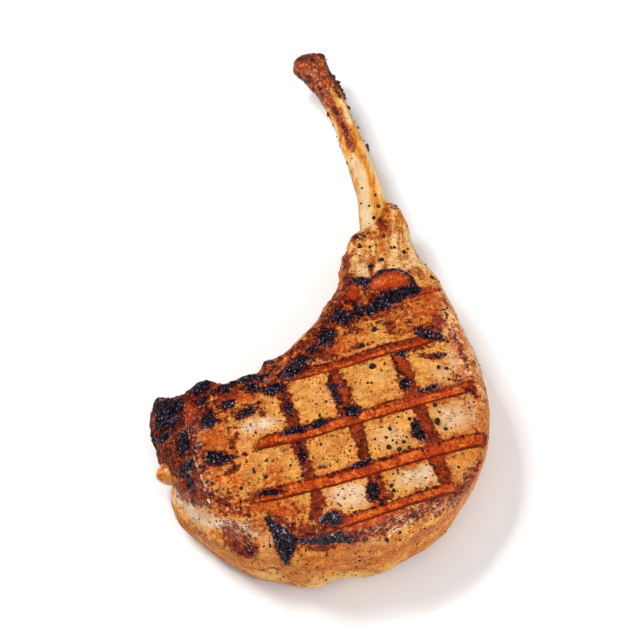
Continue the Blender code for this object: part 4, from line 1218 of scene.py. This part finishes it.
MOIST = {"Specular_IOR_Level": 0.02, "Coat_Roughness": 0.1, "Subsurface_Radius": (1.0, 0.35, 0.15),
         "Subsurface_Scale": 1.0 * MM, "Specular_Tint": (1.0, 0.55, 0.35, 1.0)}
dress(meat, crust_material("seared lean meat", 0.9, Subsurface_Weight=0.06, **MOIST))
dress(fat, crust_material("browned fat", 0.6, Subsurface_Weight=0.1, **MOIST))

# %% [markdown]
# ## Bone, nub, pepper and crumbs
# Bone is drier and paler than the crust, with lengthwise stains. The nub is rendered
# fat, amber and clear enough to glow. Pepper and crumbs are dark and dry.

# %% Material for the bone
material, tree, shader = start_material("roasted bone", Coat_Roughness=0.18, Coat_Weight=0.12,
                                        Specular_IOR_Level=0.1, Subsurface_Weight=0.05,
                                        Subsurface_Scale=0.8 * MM)
along = grain_of(tree, (1.3, 13.0, 1.3), 4.0)
threads = grain_of(tree, (0.7, 9.0, 0.7), 3.0)
small, middling = grain_of(tree, 0.8), grain_of(tree, 2.4)
mottled = maths(tree, "MULTIPLY_ADD", small, 0.5, maths(tree, "MULTIPLY", middling, 0.5))
look = blend(tree, colour(230, 172, 84), colour(204, 126, 46), ramp(tree, along, 0.38, 0.6))
look = blend(tree, look, colour(226, 198, 156), ragged(tree, mask(tree, "cream"), 4.0, 0.6, 0.3, 0.85))
look = blend(tree, look, colour(150, 70, 24), ramp(tree, threads, 0.56, 0.68, 0.4))
orange = blend(tree, colour(156, 60, 18), colour(214, 126, 38), ramp(tree, mottled, 0.4, 0.52))
look = blend(tree, look, orange, ragged(tree, mask(tree, "orange"), 3.0, 0.9, 0.3, 0.85))
flecks = grain_of(tree, (0.8, 2.6, 0.8), 3.0)
browned = blend(tree, colour(64, 16, 12), colour(118, 36, 18), ramp(tree, mottled, 0.4, 0.5))
browned = blend(tree, browned, colour(200, 86, 30), ramp(tree, mottled, 0.5, 0.6))
# Light lengthwise flecks on the browned bone: painted sheen.
browned = blend(tree, browned, colour(236, 160, 104), ramp(tree, flecks, 0.58, 0.68, 0.8))
look = blend(tree, look, browned, ragged(tree, mask(tree, "brown"), 2.4, 1.1, 0.2, 0.94))
scorched = blend(tree, colour(40, 10, 12), colour(104, 30, 22), ramp(tree, small, 0.46, 0.58))
look = blend(tree, look, scorched, ragged(tree, mask(tree, "char"), 1.6, 1.1, 0.14, 0.92))
dust = use(tree, SPECKS, Spacing=1.3, Size=0.26, Share=0.4)["Mask"]
look = blend(tree, look, colour(112, 40, 20), maths(tree, "MULTIPLY", dust, 0.8))
# Painted shade: darker in the bone's hollows, lighter on its ridges and crust.
shade = maths(tree, "MULTIPLY_ADD", mask(tree, "fine"), 0.15, 1.0)
toned = add(tree, "HueSaturation", {"Color": look, "Value": shade}).outputs[0]
tree.links.new(toned, shader.inputs["Base Color"])
tree.links.new(maths(tree, "MULTIPLY_ADD", small, 0.3, 0.34), shader.inputs["Roughness"])
bump(tree, shader, maths(tree, "ADD", along, small), 0.45)
dress(bone, material)

# %% Material for the nub of rendered fat
material, tree, shader = start_material("rendered fat", Coat_Weight=0.6, Coat_Roughness=0.08,
                                        Subsurface_Weight=0.35, Subsurface_Scale=2.0 * MM,
                                        Subsurface_Radius=(1.0, 0.4, 0.1))
clouds, small = grain_of(tree, 3.0), grain_of(tree, 0.9)
look = blend(tree, colour(214, 132, 36), colour(160, 76, 18), ramp(tree, clouds, 0.4, 0.62))
look = blend(tree, look, colour(232, 178, 86), ramp(tree, mask(tree, "fine"), 0.2, 0.7, 0.6))
tree.links.new(look, shader.inputs["Base Color"])
tree.links.new(maths(tree, "MULTIPLY_ADD", small, 0.2, 0.2), shader.inputs["Roughness"])
bump(tree, shader, small, 0.15)
dress(nub, material)


# %% Materials for pepper and crumbs
def chip_material(name, dark, light, gloss):
    """A dry dark chip, each one a little different."""
    material, tree, shader = start_material(name, Coat_Weight=gloss, Coat_Roughness=0.2, Specular_IOR_Level=0.15)
    small = grain_of(tree, 0.45)
    look = blend(tree, dark, light, ramp(tree, mask(tree, "tone"), 0.6, 1.0, 0.9))
    look = blend(tree, look, light, ramp(tree, small, 0.5, 0.75, 0.5))
    tree.links.new(look, shader.inputs["Base Color"])
    tree.links.new(maths(tree, "MULTIPLY_ADD", small, 0.4, 0.4), shader.inputs["Roughness"])
    bump(tree, shader, small, 0.15)
    return material


dress(pepper, chip_material("cracked pepper", colour(20, 17, 20), colour(84, 46, 30), 0.15))
dress(crumbs, chip_material("charred crumb", colour(66, 22, 16), colour(156, 70, 36), 0.2))
print("materials", [material.name for material in bpy.data.materials])

# %% [markdown]
# ## Put the pieces in the frame
# Each piece rides on the one body and stands for the solid it was made from.

# %% Ride and replace
for piece, node, slot in ((meat, "meat", "grilled_meat"), (fat, "fat_cap", "browned_fat"),
                          (bone, "rib_bone", "roasted_bone"), (nub, "fat_nub", "rendered_fat")):
    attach(piece, "root")
    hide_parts(node)
for piece in (pepper, crumbs):
    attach(piece, "root")

# %% [markdown]
# ## Floor and light
# A pale floor and big soft lamps keep the shading gentle. The main lamp stands to the
# left and a little behind, which shows the bars as grooves and wets the near rim.

# %% Floor, lamps and surrounding light
LOWEST = min(corner[2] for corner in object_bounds())
floor_mesh = bpy.data.meshes.new("floor")
floor_mesh.from_pydata([(-3, -3, LOWEST), (3, -3, LOWEST), (3, 3, LOWEST), (-3, 3, LOWEST)], [], [(0, 1, 2, 3)])
floor = new_piece("floor", floor_mesh)
floor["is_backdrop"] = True
material, tree, shader = start_material("pale floor", Roughness=0.9)
paper = grain_of(tree, 40.0)
look = blend(tree, colour(250, 250, 250), colour(247, 247, 247), paper)
tree.links.new(look, shader.inputs["Base Color"])
dress(floor, material)

# Each lamp: name, place (m), width (m), power (W)
LAMPS = (("main", (-0.5, 0.2, 0.75), 0.28, 5.6),
         ("rim", (0.33, -0.42, 0.72), 0.07, 0.8),
         ("side", (0.75, -0.25, 0.35), 0.5, 2.2),
         ("sparkle", (-0.35, 0.3, 0.8), 0.07, 1.5),
         ("overhead", (0.1, -0.1, 1.0), 0.9, 2.4),
         ("front", (0.2, -0.9, 0.45), 0.7, 2.5))
for name, place, width, power in LAMPS:
    data = bpy.data.lights.new(name, "AREA")
    data.energy = power
    data.size = width
    lamp = bpy.data.objects.new(name, data)
    bpy.context.scene.collection.objects.link(lamp)
    lamp.location = place
    lamp.rotation_euler = (Vector(place) - AIM).to_track_quat("Z", "Y").to_euler()
world = bpy.data.worlds.new("studio")
bpy.context.scene.world = world
world.use_nodes = True
world.node_tree.nodes["Background"].inputs["Color"].default_value = (1, 1, 1, 1)
world.node_tree.nodes["Background"].inputs["Strength"].default_value = 0.2
bpy.context.scene.view_settings.view_transform = "Standard"
print("lamps", len(LAMPS), "floor at", round(LOWEST / MM, 2), "mm")
